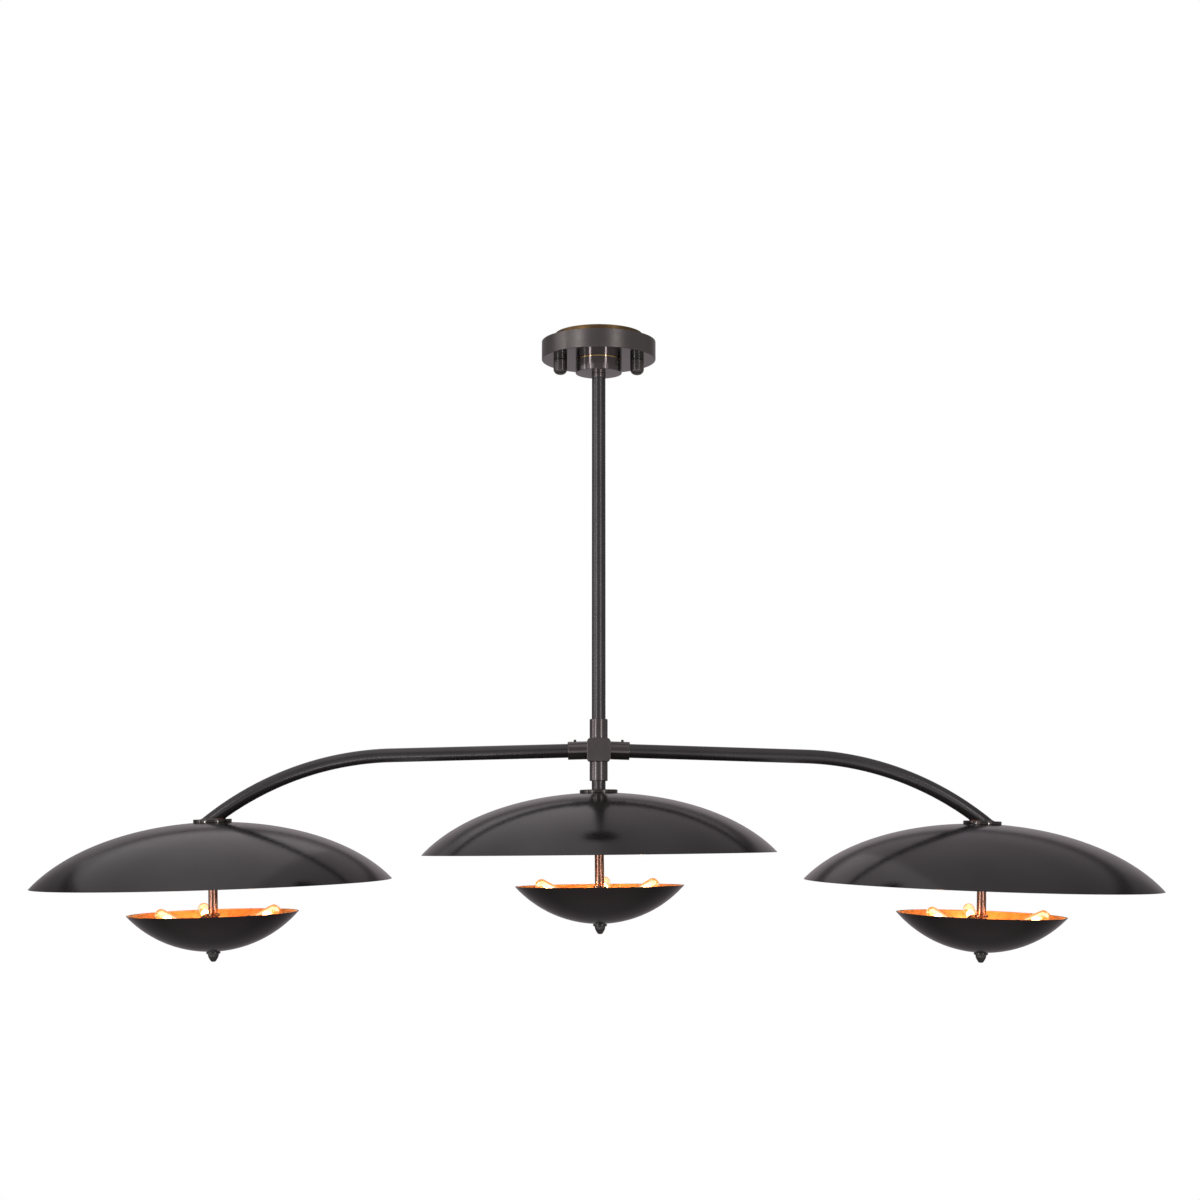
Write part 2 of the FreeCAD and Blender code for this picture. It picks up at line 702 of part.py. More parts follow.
def arm(label, frame):
    body = new_body(label)
    path = new_sketch(body, "XZ_Plane", "path")
    start = socket_floor + dim.fit * 2
    turn = dim.arm_bend_angle + dim.arm_overrun
    end_x = dim.arm_straight + dim.arm_bend_radius * sine(turn)
    end_z = -(dim.arm_bend_radius * (whole - cosine(turn)))
    first = FreeCAD.Vector(start.value, 0, 0)
    bend = FreeCAD.Vector(dim.arm_straight.value, 0, 0)
    last = FreeCAD.Vector(end_x.value, end_z.value, 0)
    straight = path.addGeometry(Part.LineSegment(first, bend), False)
    arc = path.addGeometry(arc_between(bend, last, ("x", dim.arm_straight)), False)
    path.addConstraint(Sketcher.Constraint("Coincident", straight, 2, arc, 2))
    hold(path, straight, 1, True, start)
    hold(path, straight, 1, False, 0)
    hold(path, straight, 2, True, dim.arm_straight)
    hold(path, straight, 2, False, 0)
    hold(path, arc, 3, True, dim.arm_straight)
    hold(path, arc, 3, False, -dim.arm_bend_radius)
    hold(path, arc, 1, True, end_x)
    section = new_sketch(body, "YZ_Plane", "section", placed(z=start))
    circle(section, 0, 0, dim.tube_dia)
    circle(section, 0, 0, dim.tube_dia - dim.tube_wall * 2)
    pipe = body.newObject("PartDesign::AdditivePipe", f"{label}_pipe")
    pipe.Profile = section
    pipe.Spine = (path, ["Edge1", "Edge2"])
    foot = new_sketch(body, "XY_Plane", "foot", placed(z=-arm_drop))
    circle(foot, arm_reach, 0, dim.flange_dia * 2)
    pocket(body, foot)
    return keep(seated(body, frame))


# One lamp: flange, shade, nut, spindle, cluster, sockets, bowl and finial

def flange(name, frame):
    bore = dim.rod_dia + dim.fit * 2
    keep(seated(ring(f"{name}_flange", bore, dim.flange_dia, dim.flange_thick, 0), frame))


def ellipse_arc(sketch, wide, high, inner_x, outer_x):
    # Part of an ellipse round the shade's centre, cut at the flat's and the rim's radius
    centre = FreeCAD.Vector(0, -shade_centre.value, 0)
    curve = Part.Ellipse(centre, wide.value, high.value)
    first = math.acos(outer_x.value / wide.value)
    last = math.acos(inner_x.value / wide.value)
    edge = sketch.addGeometry(Part.ArcOfEllipse(curve, first, last), False)
    sketch.exposeInternalGeometry(edge)
    hold(sketch, edge, 3, True, 0)
    hold(sketch, edge, 3, False, -shade_centre)
    sketch.addConstraint(Sketcher.Constraint("Horizontal", edge + 1))
    bind(sketch, Sketcher.Constraint("Distance", edge + 1, wide.value * 2), wide * 2)
    bind(sketch, Sketcher.Constraint("Distance", edge + 2, high.value * 2), high * 2)
    hold(sketch, edge, 1, True, outer_x)
    hold(sketch, edge, 2, True, inner_x)
    return edge


def join(sketch, start, finish):
    edge = sketch.addGeometry(Part.LineSegment(sketch.getPoint(*start), sketch.getPoint(*finish)), False)
    sketch.addConstraint(Sketcher.Constraint("Coincident", edge, 1, *start))
    sketch.addConstraint(Sketcher.Constraint("Coincident", edge, 2, *finish))
    return edge


def shade(name, frame):
    body = new_body(f"{name}_shade")
    sketch = new_sketch(body, "XZ_Plane", "section")
    wall = dim.shade_wall
    flat = half(dim.shade_flat_dia)
    rim = half(dim.shade_dia)
    top = ellipse_arc(sketch, shade_half, shade_high, flat, rim)
    under = ellipse_arc(sketch, shade_half - wall, shade_high - wall, flat, rim - wall)
    join(sketch, (top, 1), (under, 1))
    hole = half(dim.rod_dia) + dim.fit
    upper = sketch.addGeometry(Part.LineSegment(sketch.getPoint(top, 2), FreeCAD.Vector(hole.value, 0, 0)), False)
    sketch.addConstraint(Sketcher.Constraint("Coincident", upper, 1, top, 2))
    hold(sketch, upper, 2, True, hole)
    hold(sketch, upper, 2, False, 0)
    low = FreeCAD.Vector(hole.value, -wall.value, 0)
    lower = sketch.addGeometry(Part.LineSegment(sketch.getPoint(under, 2), low), False)
    sketch.addConstraint(Sketcher.Constraint("Coincident", lower, 1, under, 2))
    hold(sketch, lower, 2, True, hole)
    hold(sketch, lower, 2, False, -wall)
    join(sketch, (upper, 2), (lower, 2))
    revolve(body, sketch)
    keep(seated(body, frame))


def shade_nut(name, frame):
    body = nut(f"{name}_shade_nut", dim.shade_nut_dia, dim.rod_dia + dim.fit * 2, dim.shade_nut_height,
               -(dim.shade_wall + dim.fit))
    return seated(body, frame)


def lamp_rod(name, frame, fall):
    bottom = fall + dim.cone_top
    return seated(ring(f"{name}_rod", dim.rod_bore, dim.rod_dia, dim.flange_thick, -bottom), frame)


def spindle(name, frame, fall):
    bore = dim.rod_dia + dim.fit * 2
    bottom = fall + dim.check_drop
    keep(seated(ring(f"{name}_spindle", bore, dim.spindle_dia, -spindle_top, -bottom), frame))


def cluster(name, frame):
    # Turned middle of the lamp, with three slanted spigots and the stud for the finial
    check = half(dim.check_dia)
    waist = half(dim.waist_dia)
    rod = half(dim.rod_dia) + dim.fit
    top = -dim.check_drop
    cone_low = dim.cone_top + dim.cone_height
    cone_wide = cone_radius + dim.cone_height * rise_slope
    foot = half(dim.foot_dia)
    stud = half(dim.stud_end_dia)
    tail = dim.bowl_depth + dim.stud_end_reach
    drum_low = cone_low + dim.foot_height
    body = turned(f"{name}_cluster", [
        (rod, top), (check, top), (check, top - dim.check_height), (waist, top - dim.check_height),
        (waist, -dim.cone_top), (cone_radius, -dim.cone_top), (cone_wide, -cone_low),
        (foot, -drum_low), (foot, -foot_bottom), (stud, -foot_bottom), (stud, -tail), (0, -tail),
        (0, -(dim.cone_top + dim.fit)), (rod, -(dim.cone_top + dim.fit))])
    sketch = new_sketch(body, "XY_Plane", "spigot", socket_words(-(dim.sleeve_length + dim.overrun)))
    circle(sketch, 0, 0, dim.spigot_dia)
    spigot = pad(body, sketch, dim.spigot_length + dim.overrun)
    doc.recompute()
    pattern = body.newObject("PartDesign::PolarPattern", f"{name}_cluster_spigots")
    pattern.Originals = [spigot]
    pattern.Axis = (plane_of(body, "Z_Axis"), [""])
    pattern.Angle = 360
    pattern.setExpression("Occurrences", words(dim.bulb_count))
    body.Tip = pattern
    keep(seated(body, frame))


def socket_words(along):
    # Frame of a socket, moved along its axis; zero is the mouth
    tip = placed(x=dim.mouth_reach, z=-dim.mouth_drop, axis="0; 1; 0", angle=quarter_turn - dim.lamp_rise)
    return f"{tip} * {placed(z=along)}"


def sleeve(label):
    outer = half(dim.sleeve_dia)
    inner = outer - dim.sleeve_wall
    floor = dim.insert_sunk + dim.insert_depth
    web = floor + dim.sleeve_web
    spigot = half(dim.spigot_dia) + dim.fit
    wire = half(dim.rod_bore)
    return turned(label, [
        (inner, 0), (outer, 0), (outer, -dim.sleeve_length), (spigot, -dim.sleeve_length),
        (spigot, -web), (wire, -web), (wire, -floor), (inner, -floor)])


def ceramic(label):
    body = new_body(label)
    section = new_sketch(body, "XY_Plane", "section", placed(z=-dim.insert_sunk))
    circle(section, 0, 0, dim.sleeve_dia - dim.sleeve_wall * 2 - dim.fit * 2)
    pad(body, section, dim.insert_depth, down=True)
    slot = new_sketch(body, "XY_Plane", "slot", placed(z=-dim.insert_sunk))
    rectangle(slot, dim.foot_thick + dim.seat * 2, dim.foot_wide + dim.seat * 2)
    pocket(body, slot, dim.slot_deep)
    drill(body, "pin_holes", [(0, half(dim.pin_spacing)), (0, -half(dim.pin_spacing))], dim.pin_hole_dia,
          -dim.insert_sunk)
    return body


def bulb_glass(label):
    outer = half(dim.glass_dia)
    inner = outer - dim.glass_wall
    base = dim.glass_base
    floor = base + dim.glass_floor
    crown = dim.glass_reach - dim.tip_height
    bend = crown - dim.glass_round
    tip = half(dim.tip_dia)
    inner_round = dim.glass_round - dim.glass_wall
    ceiling = bend + inner_round
    body = turned(label, [
        (0, base), (outer - dim.glass_wall, base), (outer, base + dim.glass_wall), (outer, bend),
        (outer - dim.glass_round, crown), (tip, crown), (0, dim.glass_reach), (0, ceiling),
        (inner - inner_round, ceiling), (inner, bend), (inner, floor), (0, floor)],
        {3: ("z", bend), 8: ("z", bend)})
    sketch = new_sketch(body, "XY_Plane", "pinch", placed(z=-foot_sunk))
    rectangle(sketch, dim.foot_thick, dim.foot_wide)
    pad(body, sketch, foot_sunk + base + dim.glass_wall)
    return body


def bulb_wires(label):
    post = half(dim.filament_post_dia)
    coil = half(dim.filament_dia)
    low = dim.glass_base + dim.glass_floor
    middle = low + dim.filament_post
    high = middle + dim.filament_length
    body = turned(label, [(0, low), (post, low), (post, middle), (coil, middle), (coil, high), (0, high)])
    sketch = new_sketch(body, "XY_Plane", "pins", placed(z=-foot_sunk))
    circle(sketch, 0, half(dim.pin_spacing), dim.pin_dia)
    circle(sketch, 0, -half(dim.pin_spacing), dim.pin_dia)
    pad(body, sketch, dim.pin_length, down=True)
    return body


def bowl(name, frame):
    # Spherical dish: both arcs share the sphere's centre on the lamp's axis
    wall = dim.bowl_wall
    hole = half(dim.bowl_hole_dia)
    rim = half(dim.bowl_dia)
    centre = bowl_radius - dim.bowl_depth
    inside = bowl_radius - wall
    inner_rim = root(inside * inside - centre * centre)
    outer_low = root(bowl_radius * bowl_radius - hole * hole) - centre
    inner_low = root(inside * inside - hole * hole) - centre
    body = turned(f"{name}_bowl", [
        (rim, 0), (hole, -outer_low), (hole, -inner_low), (inner_rim, 0)],
        {0: ("x", 0), 2: ("x", 0)})
    keep(seated(body, frame))


def finial(name, frame):
    disc = half(dim.finial_dia)
    neck = half(dim.finial_neck_dia)
    tip = half(dim.finial_tip_dia)
    bore = half(dim.stud_end_dia) + dim.fit
    top = -(dim.bowl_depth + dim.fit)
    shelf = top - dim.finial_disc
    bottom = top - dim.finial_height
    bore_end = -(dim.bowl_depth + dim.stud_end_reach + dim.seat)
    keep(seated(turned(f"{name}_finial", [
        (bore, top), (disc, top), (disc, shelf), (neck, shelf), (tip, bottom + tip), (0, bottom),
        (0, bore_end), (bore, bore_end)],
        {4: ("x", 0)}), frame))


def lamp(name, frame, gap, turn):
    fall = dim.shade_depth + gap
    bowl_frame = f"{frame} * {placed(z=-fall)}"
    flange(name, frame)
    shade(name, frame)
    spindle(name, frame, fall)
    turned_frame = f"{bowl_frame} * {placed(angle=turn)}"
    cluster(name, turned_frame)
    sleeves = []
    ceramics = []
    for index in range(int(dim.bulb_count.value)):
        step = placed(angle=Size(index, str(index)) * 360 / dim.bulb_count)
        mouth = f"{turned_frame} * {step} * {socket_words(0)}"
        sleeves.append(seated(sleeve(f"{name}_sleeve_{index + 1}"), mouth))
        ceramics.append(seated(ceramic(f"{name}_ceramic_{index + 1}"), mouth))
        keep(seated(bulb_glass(f"{name}_bulb_{index + 1}_glass"), mouth))
        keep(seated(bulb_wires(f"{name}_bulb_{index + 1}_wires"), mouth))
    keep(group(f"{name}_socket_sleeves", sleeves))
    bowl(name, bowl_frame)
    finial(name, bowl_frame)
    return ceramics, shade_nut(name, frame), lamp_rod(name, frame, fall)


def frame_object(name, *steps):
    # A named frame that pieces ride on
    return seated(doc.addObject("App::Placement", name), *steps)


about_y = "0; 1; 0"
about_x = "1; 0; 0"
hub_frame = placed(z=-dim.hub_drop)
arm_end = placed(x=arm_reach, z=-lamp_drop)
left_socket_frame = "left_socket_frame.Placement"
right_socket_frame = "right_socket_frame.Placement"
frame_object("left_socket_frame", hub_frame, placed(angle=180), placed(axis=about_y, angle=dim.sag_left))
frame_object("right_socket_frame", hub_frame, placed(axis=about_y, angle=dim.sag_right))
frame_object("left_arm_frame", left_socket_frame, placed(axis=about_x, angle=-dim.lean_left))
frame_object("right_arm_frame", right_socket_frame, placed(axis=about_x, angle=dim.lean_right))
left_arm_frame = "left_arm_frame.Placement"
right_arm_frame = "right_arm_frame.Placement"
frame_object("left_lamp_frame", left_arm_frame, arm_end)
frame_object("right_lamp_frame", right_arm_frame, arm_end)
frame_object("centre_lamp_frame", placed(z=-(dim.hub_drop + dim.centre_drop)),
             placed(axis=about_y, angle=-dim.centre_tilt))

mounting_plate()
plate_studs()
stud_nuts()
ground_screw()
canopy()
cap_nuts()
friction_washer()
stem_collar()
swivel_nipple()
stop_washer()
swivel_locknut()
stem_coupler()
stem()
hub()
set_screws()
lower_stem()
arm("left_arm", left_arm_frame)
arm("right_arm", right_arm_frame)
inserts = []
shade_nuts = []
rods = []
for name, gap, turn in (("left", dim.gap_side, dim.turn_left), ("centre", dim.gap_centre, dim.turn_centre),
                        ("right", dim.gap_side, dim.turn_right)):
    ceramics, clamp, rod = lamp(name, f"{name}_lamp_frame.Placement", gap, turn)
    inserts.extend(ceramics)
    shade_nuts.append(clamp)
    rods.append(rod)
keep(group("socket_inserts", inserts))
keep(group("shade_nuts", shade_nuts))
keep(group("lamp_rods", rods))

doc.recompute()
faults = []
for item in doc.Objects:
    if "Invalid" in item.State or "Error" in item.State:
        faults.append(f"{item.Label}: {item.State}")
for item in nodes:
    if item.Shape.isNull() or not item.Shape.isValid() or not item.Shape.Solids:
        faults.append(f"{item.Label}: no valid solid")
if faults:
    raise RuntimeError("; ".join(faults))

os.makedirs("parts", exist_ok=True)
for item in nodes:
    item.Shape.exportStep(os.path.join("parts", f"{item.Label}.step"))
    box = item.Shape.BoundBox
    print(item.Label, len(item.Shape.Solids), round(item.Shape.Volume, 1),
          [round(value, 1) for value in (box.XMin, box.YMin, box.ZMin, box.XMax, box.YMax, box.ZMax)])
print(len(nodes), "nodes")
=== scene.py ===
import bpy
import bmesh
import json
import math
from mathutils import Matrix, Vector


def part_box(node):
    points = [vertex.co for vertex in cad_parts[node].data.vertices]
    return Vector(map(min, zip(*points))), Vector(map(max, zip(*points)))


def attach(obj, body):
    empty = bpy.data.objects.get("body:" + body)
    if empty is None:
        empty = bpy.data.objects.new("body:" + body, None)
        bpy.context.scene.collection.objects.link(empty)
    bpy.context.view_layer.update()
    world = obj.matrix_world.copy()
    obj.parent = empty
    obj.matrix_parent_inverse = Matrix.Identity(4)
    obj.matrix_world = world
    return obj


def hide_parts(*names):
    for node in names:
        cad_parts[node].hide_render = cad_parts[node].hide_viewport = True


# Three-lamp ceiling light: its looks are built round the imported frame, in metres

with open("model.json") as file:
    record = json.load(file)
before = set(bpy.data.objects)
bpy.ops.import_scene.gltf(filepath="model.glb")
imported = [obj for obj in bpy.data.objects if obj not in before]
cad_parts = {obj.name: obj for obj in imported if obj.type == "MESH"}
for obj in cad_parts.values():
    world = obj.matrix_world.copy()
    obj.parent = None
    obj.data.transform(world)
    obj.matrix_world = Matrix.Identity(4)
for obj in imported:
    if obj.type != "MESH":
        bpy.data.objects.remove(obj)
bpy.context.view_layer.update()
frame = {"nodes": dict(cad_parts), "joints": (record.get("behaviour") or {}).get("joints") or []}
scene = bpy.context.scene
mm = 0.001
metre = 1000    # in mm, for the scale of patterns
joints = {joint["name"]: joint for joint in frame["joints"]}
sides = ("left", "centre", "right")
bulbNumbers = (1, 2, 3)
here = Matrix.Identity(4)


def middleOf(node):
    low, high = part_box(node)
    return (low + high) / 2


def standing(origin, up, ahead):
    # Place whose Z runs along up, with X leaning towards ahead
    z = Vector(up).normalized()
    x = Vector(ahead)
    x = (x - z * x.dot(z)).normalized()
    place = Matrix((x, z.cross(x), z)).transposed().to_4x4()
    place.translation = origin
    return place


def raised(height):
    return Matrix.Translation((0, 0, height * mm))


# Places of the lamps, read from the frame: each lamp's zero is the top of its shade

lampSizes = {
    "flangeThick": 3.8,
    "shadeDepth": 68,
    "gap": {"left": 33, "centre": 35.6, "right": 33},    # shade's rim to bowl's rim
    "mouthReach": 46,                                     # socket's mouth from the lamp's axis
    "mouthDrop": 11,
}
hubMiddle = Vector((0, 0, (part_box("stem")[0].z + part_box("lower_stem")[1].z) / 2))
lampPlaces, bowlPlaces, socketPlaces = {}, {}, {}
for side in sides:
    up = -Vector(joints[side + "_bowl_drop"]["axis"])
    flangeMiddle = middleOf(side + "_flange")
    top = flangeMiddle - up * lampSizes["flangeThick"] / 2 * mm
    ahead = Vector((1, 0, 0)) if side == "centre" else flangeMiddle - hubMiddle
    lampPlaces[side] = standing(top, up, ahead)
    bowlPlaces[side] = lampPlaces[side] @ raised(-lampSizes["shadeDepth"] - lampSizes["gap"][side])
    for number in bulbNumbers:
        axis = Vector(joints[f"{side}_bulb_{number}_pull"]["axis"])
        outward = (axis - up * axis.dot(up)).normalized()
        reach = outward * lampSizes["mouthReach"] - up * lampSizes["mouthDrop"]
        mouth = bowlPlaces[side].translation + reach * mm
        socketPlaces[side, number] = standing(mouth, axis, -up)
print("places read from the frame")


# Camera and studio

cameraSizes = {
    "place": (-0.0305, -2.2650, -0.5827),
    "pitch": 6.87,       # degrees above level
    "turn": -0.81,
    "lens": 59.87,
    "sensor": 36,
    "farthest": 100,
}
cameraData = bpy.data.cameras.new("camera")
cameraData.lens = cameraSizes["lens"]
cameraData.sensor_width = cameraSizes["sensor"]
cameraData.clip_end = cameraSizes["farthest"]
camera = bpy.data.objects.new("camera", cameraData)
camera.location = cameraSizes["place"]
camera.rotation_euler = (math.radians(90 + cameraSizes["pitch"]), 0, math.radians(cameraSizes["turn"]))
scene.collection.objects.link(camera)
scene.camera = camera
scene.view_settings.view_transform = "Standard"


def linear(code):
    # Linear colour of an sRGB hex value
    shares = [int(code[start:start + 2], 16) / 255 for start in (1, 3, 5)]
    return [s / 12.92 if s <= 0.04045 else ((s + 0.055) / 1.055) ** 2.4 for s in shares] + [1]


def addNode(tree, kind, values=None, links=None, **settings):
    # One node with its settings, the numbers on its sockets, and its links
    node = tree.nodes.new(kind)
    for key, value in settings.items():
        setattr(node, key, value)
    for key, value in (values or {}).items():
        node.inputs[key].default_value = value
    for key, output in (links or {}).items():
        tree.links.new(output, node.inputs[key])
    return node


def between(low, high):
    # Numbers for a Map Range that climbs from 0 to 1
    return {"From Min": low, "From Max": high}


def setRamp(node, stops, smooth=True):
    # Tones by position; the ramp's own two ends take the first and the last
    ramp = node.color_ramp
    ramp.interpolation = "EASE" if smooth else "LINEAR"
    ramp.elements[0].position, ramp.elements[1].position = stops[0][0], stops[-1][0]
    for position, _ in stops[1:-1]:
        ramp.elements.new(position)
    for position, colour in stops:
        element = min(ramp.elements, key=lambda item: abs(item.position - position))
        element.color = linear(colour) if isinstance(colour, str) else (colour, colour, colour, 1)
    return node


studioSizes = {
    "plainLight": 0.9,
    # tone of the walls in a reflection, by the compass: -180 and 180 are behind the lamp, 0 is the camera
    "levelTones": [(-180, 0.42), (-170, 0.38), (-160, 0.3), (-148, 0.2), (-125, 0.2), (-101, 0.2),
                   (-96, 0.95), (-71, 0.95), (-68, 0.4), (-62, 0.4), (-59, 1), (-29, 1), (-22, 0.35),
                   (20, 0.33), (26, 1), (44, 1), (49, 0.3), (100, 0.3), (125, 0.2), (140, 0.22),
                   (152, 0.34), (165, 0.4), (180, 0.42)],
    # tones below level, before the lamp and behind it, as the sine of the angle
    "lowTones": {
        "before": [(-1, 0.5), (-0.85, 0.35), (-0.66, 0.5), (-0.4, 0.55), (-0.3, 0.8), (-0.18, 0.8),
                   (-0.1, 0.5), (0, 0.4)],
        "behind": [(-1, 0.5), (-0.75, 0.22), (-0.5, 0.2), (-0.35, 0.25), (-0.22, 0.38), (-0.1, 0.42),
                   (0, 0.42)],
    },
    "lowFrom": (-0.06, -0.16),       # sines between which the low tones take over
    "changeOver": (-0.2, 0.2),       # sines between which those before the lamp give way to those behind
    # the overhead dish: its rim as metres across and deep for each metre up, its tone by the angle, where
    # 45 is the rim, and the angles between which it takes over
    "dishAcross": 1.15,
    "dishDeep": 2.25,
    "dishTones": [(0, 0.42), (38, 0.36), (41.5, 0.1), (45, 0.1), (48.5, 0.36), (60, 0.38), (72, 0.5),
                  (90, 0.5)],
    "dishFrom": (37, 41),
    "backdropTint": (1, 0.9, 0.95, 1),    # faint lilac
    "backdropFrom": (0.3, 0.8),           # sines between which it comes in
    # strip lights: compass angle, width, radiance
    "strips": {"farLeft": (-75, 0.16, 3.5), "nearLeft": (-41, 0.2, 4.6), "right": (33, 0.18, 3.7)},
    "stripPlace": (3.0, -0.8),      # from the stem, and its middle's height
    "stripTall": 3.7,
    # panels: place, point that they face, width, depth, radiance
    "panels": {
        "overLeft": ((-1.05, 0.7, 0.9), (-1.05, 0.7, -1), 2.1, 3.8, 0.28),
        "lowFill": ((-0.3, -2.46, -2.15), (0, 0, -0.2), 0.5, 0.35, 5),
        "leftSpot": ((-2.07, -2.07, -0.76), (0, 0, -0.2), 0.25, 0.25, 22),
        "rightSpot": ((1.7, -2.38, -0.76), (0, 0, -0.2), 0.25, 0.25, 22),
    },
}

# What reflections see of the studio. A colour Mix has its two colours on 6 and 7 and its result on output 2
world = bpy.data.worlds.new("studio")
scene.world = world
world.use_nodes = True
tree = world.node_tree
tree.nodes.clear()
direction = addNode(tree, "ShaderNodeTexCoord").outputs["Generated"]
parts = addNode(tree, "ShaderNodeSeparateXYZ", links={"Vector": direction})
backwards = addNode(tree, "ShaderNodeMath", {1: -1}, {0: parts.outputs["Y"]}, operation="MULTIPLY")
compass = addNode(tree, "ShaderNodeMath", links={0: parts.outputs["X"], 1: backwards.outputs[0]},
                  operation="ARCTAN2")
compassShare = addNode(tree, "ShaderNodeMapRange", between(-math.pi, math.pi), {"Value": compass.outputs[0]})
levelTone = setRamp(addNode(tree, "ShaderNodeValToRGB", links={"Fac": compassShare.outputs[0]}),
                    [((angle + 180) / 360, tone) for angle, tone in studioSizes["levelTones"]])
lowShare = addNode(tree, "ShaderNodeMapRange", between(-1, 0), {"Value": parts.outputs["Z"]})
lowTones = {}
for where, stops in studioSizes["lowTones"].items():
    lowTones[where] = setRamp(addNode(tree, "ShaderNodeValToRGB", links={"Fac": lowShare.outputs[0]}),
                              [(sine + 1, tone) for sine, tone in stops])
isBack = addNode(tree, "ShaderNodeMapRange", between(*studioSizes["changeOver"]),
                 {"Value": parts.outputs["Y"]})
lowTone = addNode(tree, "ShaderNodeMix", links={0: isBack.outputs[0], 6: lowTones["before"].outputs["Color"],
                                                7: lowTones["behind"].outputs["Color"]}, data_type="RGBA")
across = addNode(tree, "ShaderNodeVectorMath",
                 {1: (1 / studioSizes["dishAcross"], 1 / studioSizes["dishDeep"], 0)}, {0: direction},
                 operation="MULTIPLY")
flat = addNode(tree, "ShaderNodeVectorMath", links={0: across.outputs[0]}, operation="LENGTH")
steep = addNode(tree, "ShaderNodeMath", links={0: parts.outputs["Z"], 1: flat.outputs["Value"]},
                operation="ARCTAN2")
dishShare = addNode(tree, "ShaderNodeMapRange", between(0, math.pi / 2), {"Value": steep.outputs[0]})
dishTone = setRamp(addNode(tree, "ShaderNodeValToRGB", links={"Fac": dishShare.outputs[0]}),
                   [(angle / 90, tone) for angle, tone in studioSizes["dishTones"]])
isHigh = addNode(tree, "ShaderNodeMapRange", between(*map(math.radians, studioSizes["dishFrom"])),
                 {"Value": steep.outputs[0]}, interpolation_type="SMOOTHSTEP")
isLow = addNode(tree, "ShaderNodeMapRange", between(*studioSizes["lowFrom"]), {"Value": parts.outputs["Z"]},
                interpolation_type="SMOOTHSTEP")
upper = addNode(tree, "ShaderNodeMix", links={0: isHigh.outputs[0], 6: levelTone.outputs["Color"],
                                              7: dishTone.outputs["Color"]}, data_type="RGBA")
wallTone = addNode(tree, "ShaderNodeMix", links={0: isLow.outputs[0], 6: upper.outputs[2],
                                                 7: lowTone.outputs[2]}, data_type="RGBA")
isBehind = addNode(tree, "ShaderNodeMapRange", between(*studioSizes["backdropFrom"]),
                   {"Value": parts.outputs["Y"]})
tinted = addNode(tree, "ShaderNodeMix", {7: studioSizes["backdropTint"]},
                 {0: isBehind.outputs[0], 6: wallTone.outputs[2]}, data_type="RGBA", blend_type="MULTIPLY")

# What else sees it: plain light for matt surfaces, white for the camera and through glass
rays = addNode(tree, "ShaderNodeLightPath")
plain = studioSizes["plainLight"]
litTone = addNode(tree, "ShaderNodeMix", {6: (plain, plain, plain, 1)},
                  {0: rays.outputs["Is Glossy Ray"], 7: tinted.outputs[2]}, data_type="RGBA")
seenThrough = addNode(tree, "ShaderNodeMath", links={0: rays.outputs["Is Camera Ray"],
                                                     1: rays.outputs["Is Transmission Ray"]},
                      operation="MAXIMUM")
seen = addNode(tree, "ShaderNodeMix", {7: (1, 1, 1, 1)},
               {0: seenThrough.outputs[0], 6: litTone.outputs[2]}, data_type="RGBA")
background = addNode(tree, "ShaderNodeBackground", links={"Color": seen.outputs[2]})
addNode(tree, "ShaderNodeOutputWorld", links={"Surface": background.outputs[0]})


def studioLight(name, place, towards, wide, tall, radiance):
    # Plain area light that looks at a point and isn't seen by the camera
    light = bpy.data.lights.new(name, "AREA")
    light.shape = "RECTANGLE"
    light.size, light.size_y = wide, tall
    light.energy = radiance * math.pi * wide * tall
    lightObject = bpy.data.objects.new(name, light)
    lightObject.location = place
    lightObject.rotation_euler = (Vector(towards) - Vector(place)).to_track_quat("-Z", "Y").to_euler()
    lightObject.visible_camera = False
    scene.collection.objects.link(lightObject)


away, height = studioSizes["stripPlace"]
for name, (angle, wide, radiance) in studioSizes["strips"].items():
    spot = (away * math.sin(math.radians(angle)), -away * math.cos(math.radians(angle)), height)
    studioLight(name + "Strip", spot, (0, 0, height), wide, studioSizes["stripTall"], radiance)
for name, (spot, target, wide, deep, radiance) in studioSizes["panels"].items():
    studioLight(name + "Panel", spot, target, wide, deep, radiance)
print("studio made")


# Finishes

noiseSpread = (0.3, 0.7)    # nearly all of a noise's values lie between these


def newFinish(name, colour, metallic, roughness, **sockets):
    # Material with one shader whose plain numbers stand on its own sockets
    finish = bpy.data.materials.new(name)
    finish.use_nodes = True
    shader = finish.node_tree.nodes["Principled BSDF"]
    shader.inputs["Base Color"].default_value = linear(colour)
    shader.inputs["Metallic"].default_value = metallic
    shader.inputs["Roughness"].default_value = roughness
    for key, value in sockets.items():
        shader.inputs[key.replace("_", " ")].default_value = value
    return finish, finish.node_tree, shader


def coordinates(tree, place=None):
    # Object coordinates in metres, turned to a lamp's own place where one is given
    spot = addNode(tree, "ShaderNodeTexCoord").outputs["Object"]
    if place is None:
        return spot
    return addNode(tree, "ShaderNodeMapping", {"Location": place.translation, "Rotation": place.to_euler()},
                   {"Vector": spot}, vector_type="TEXTURE").outputs[0]


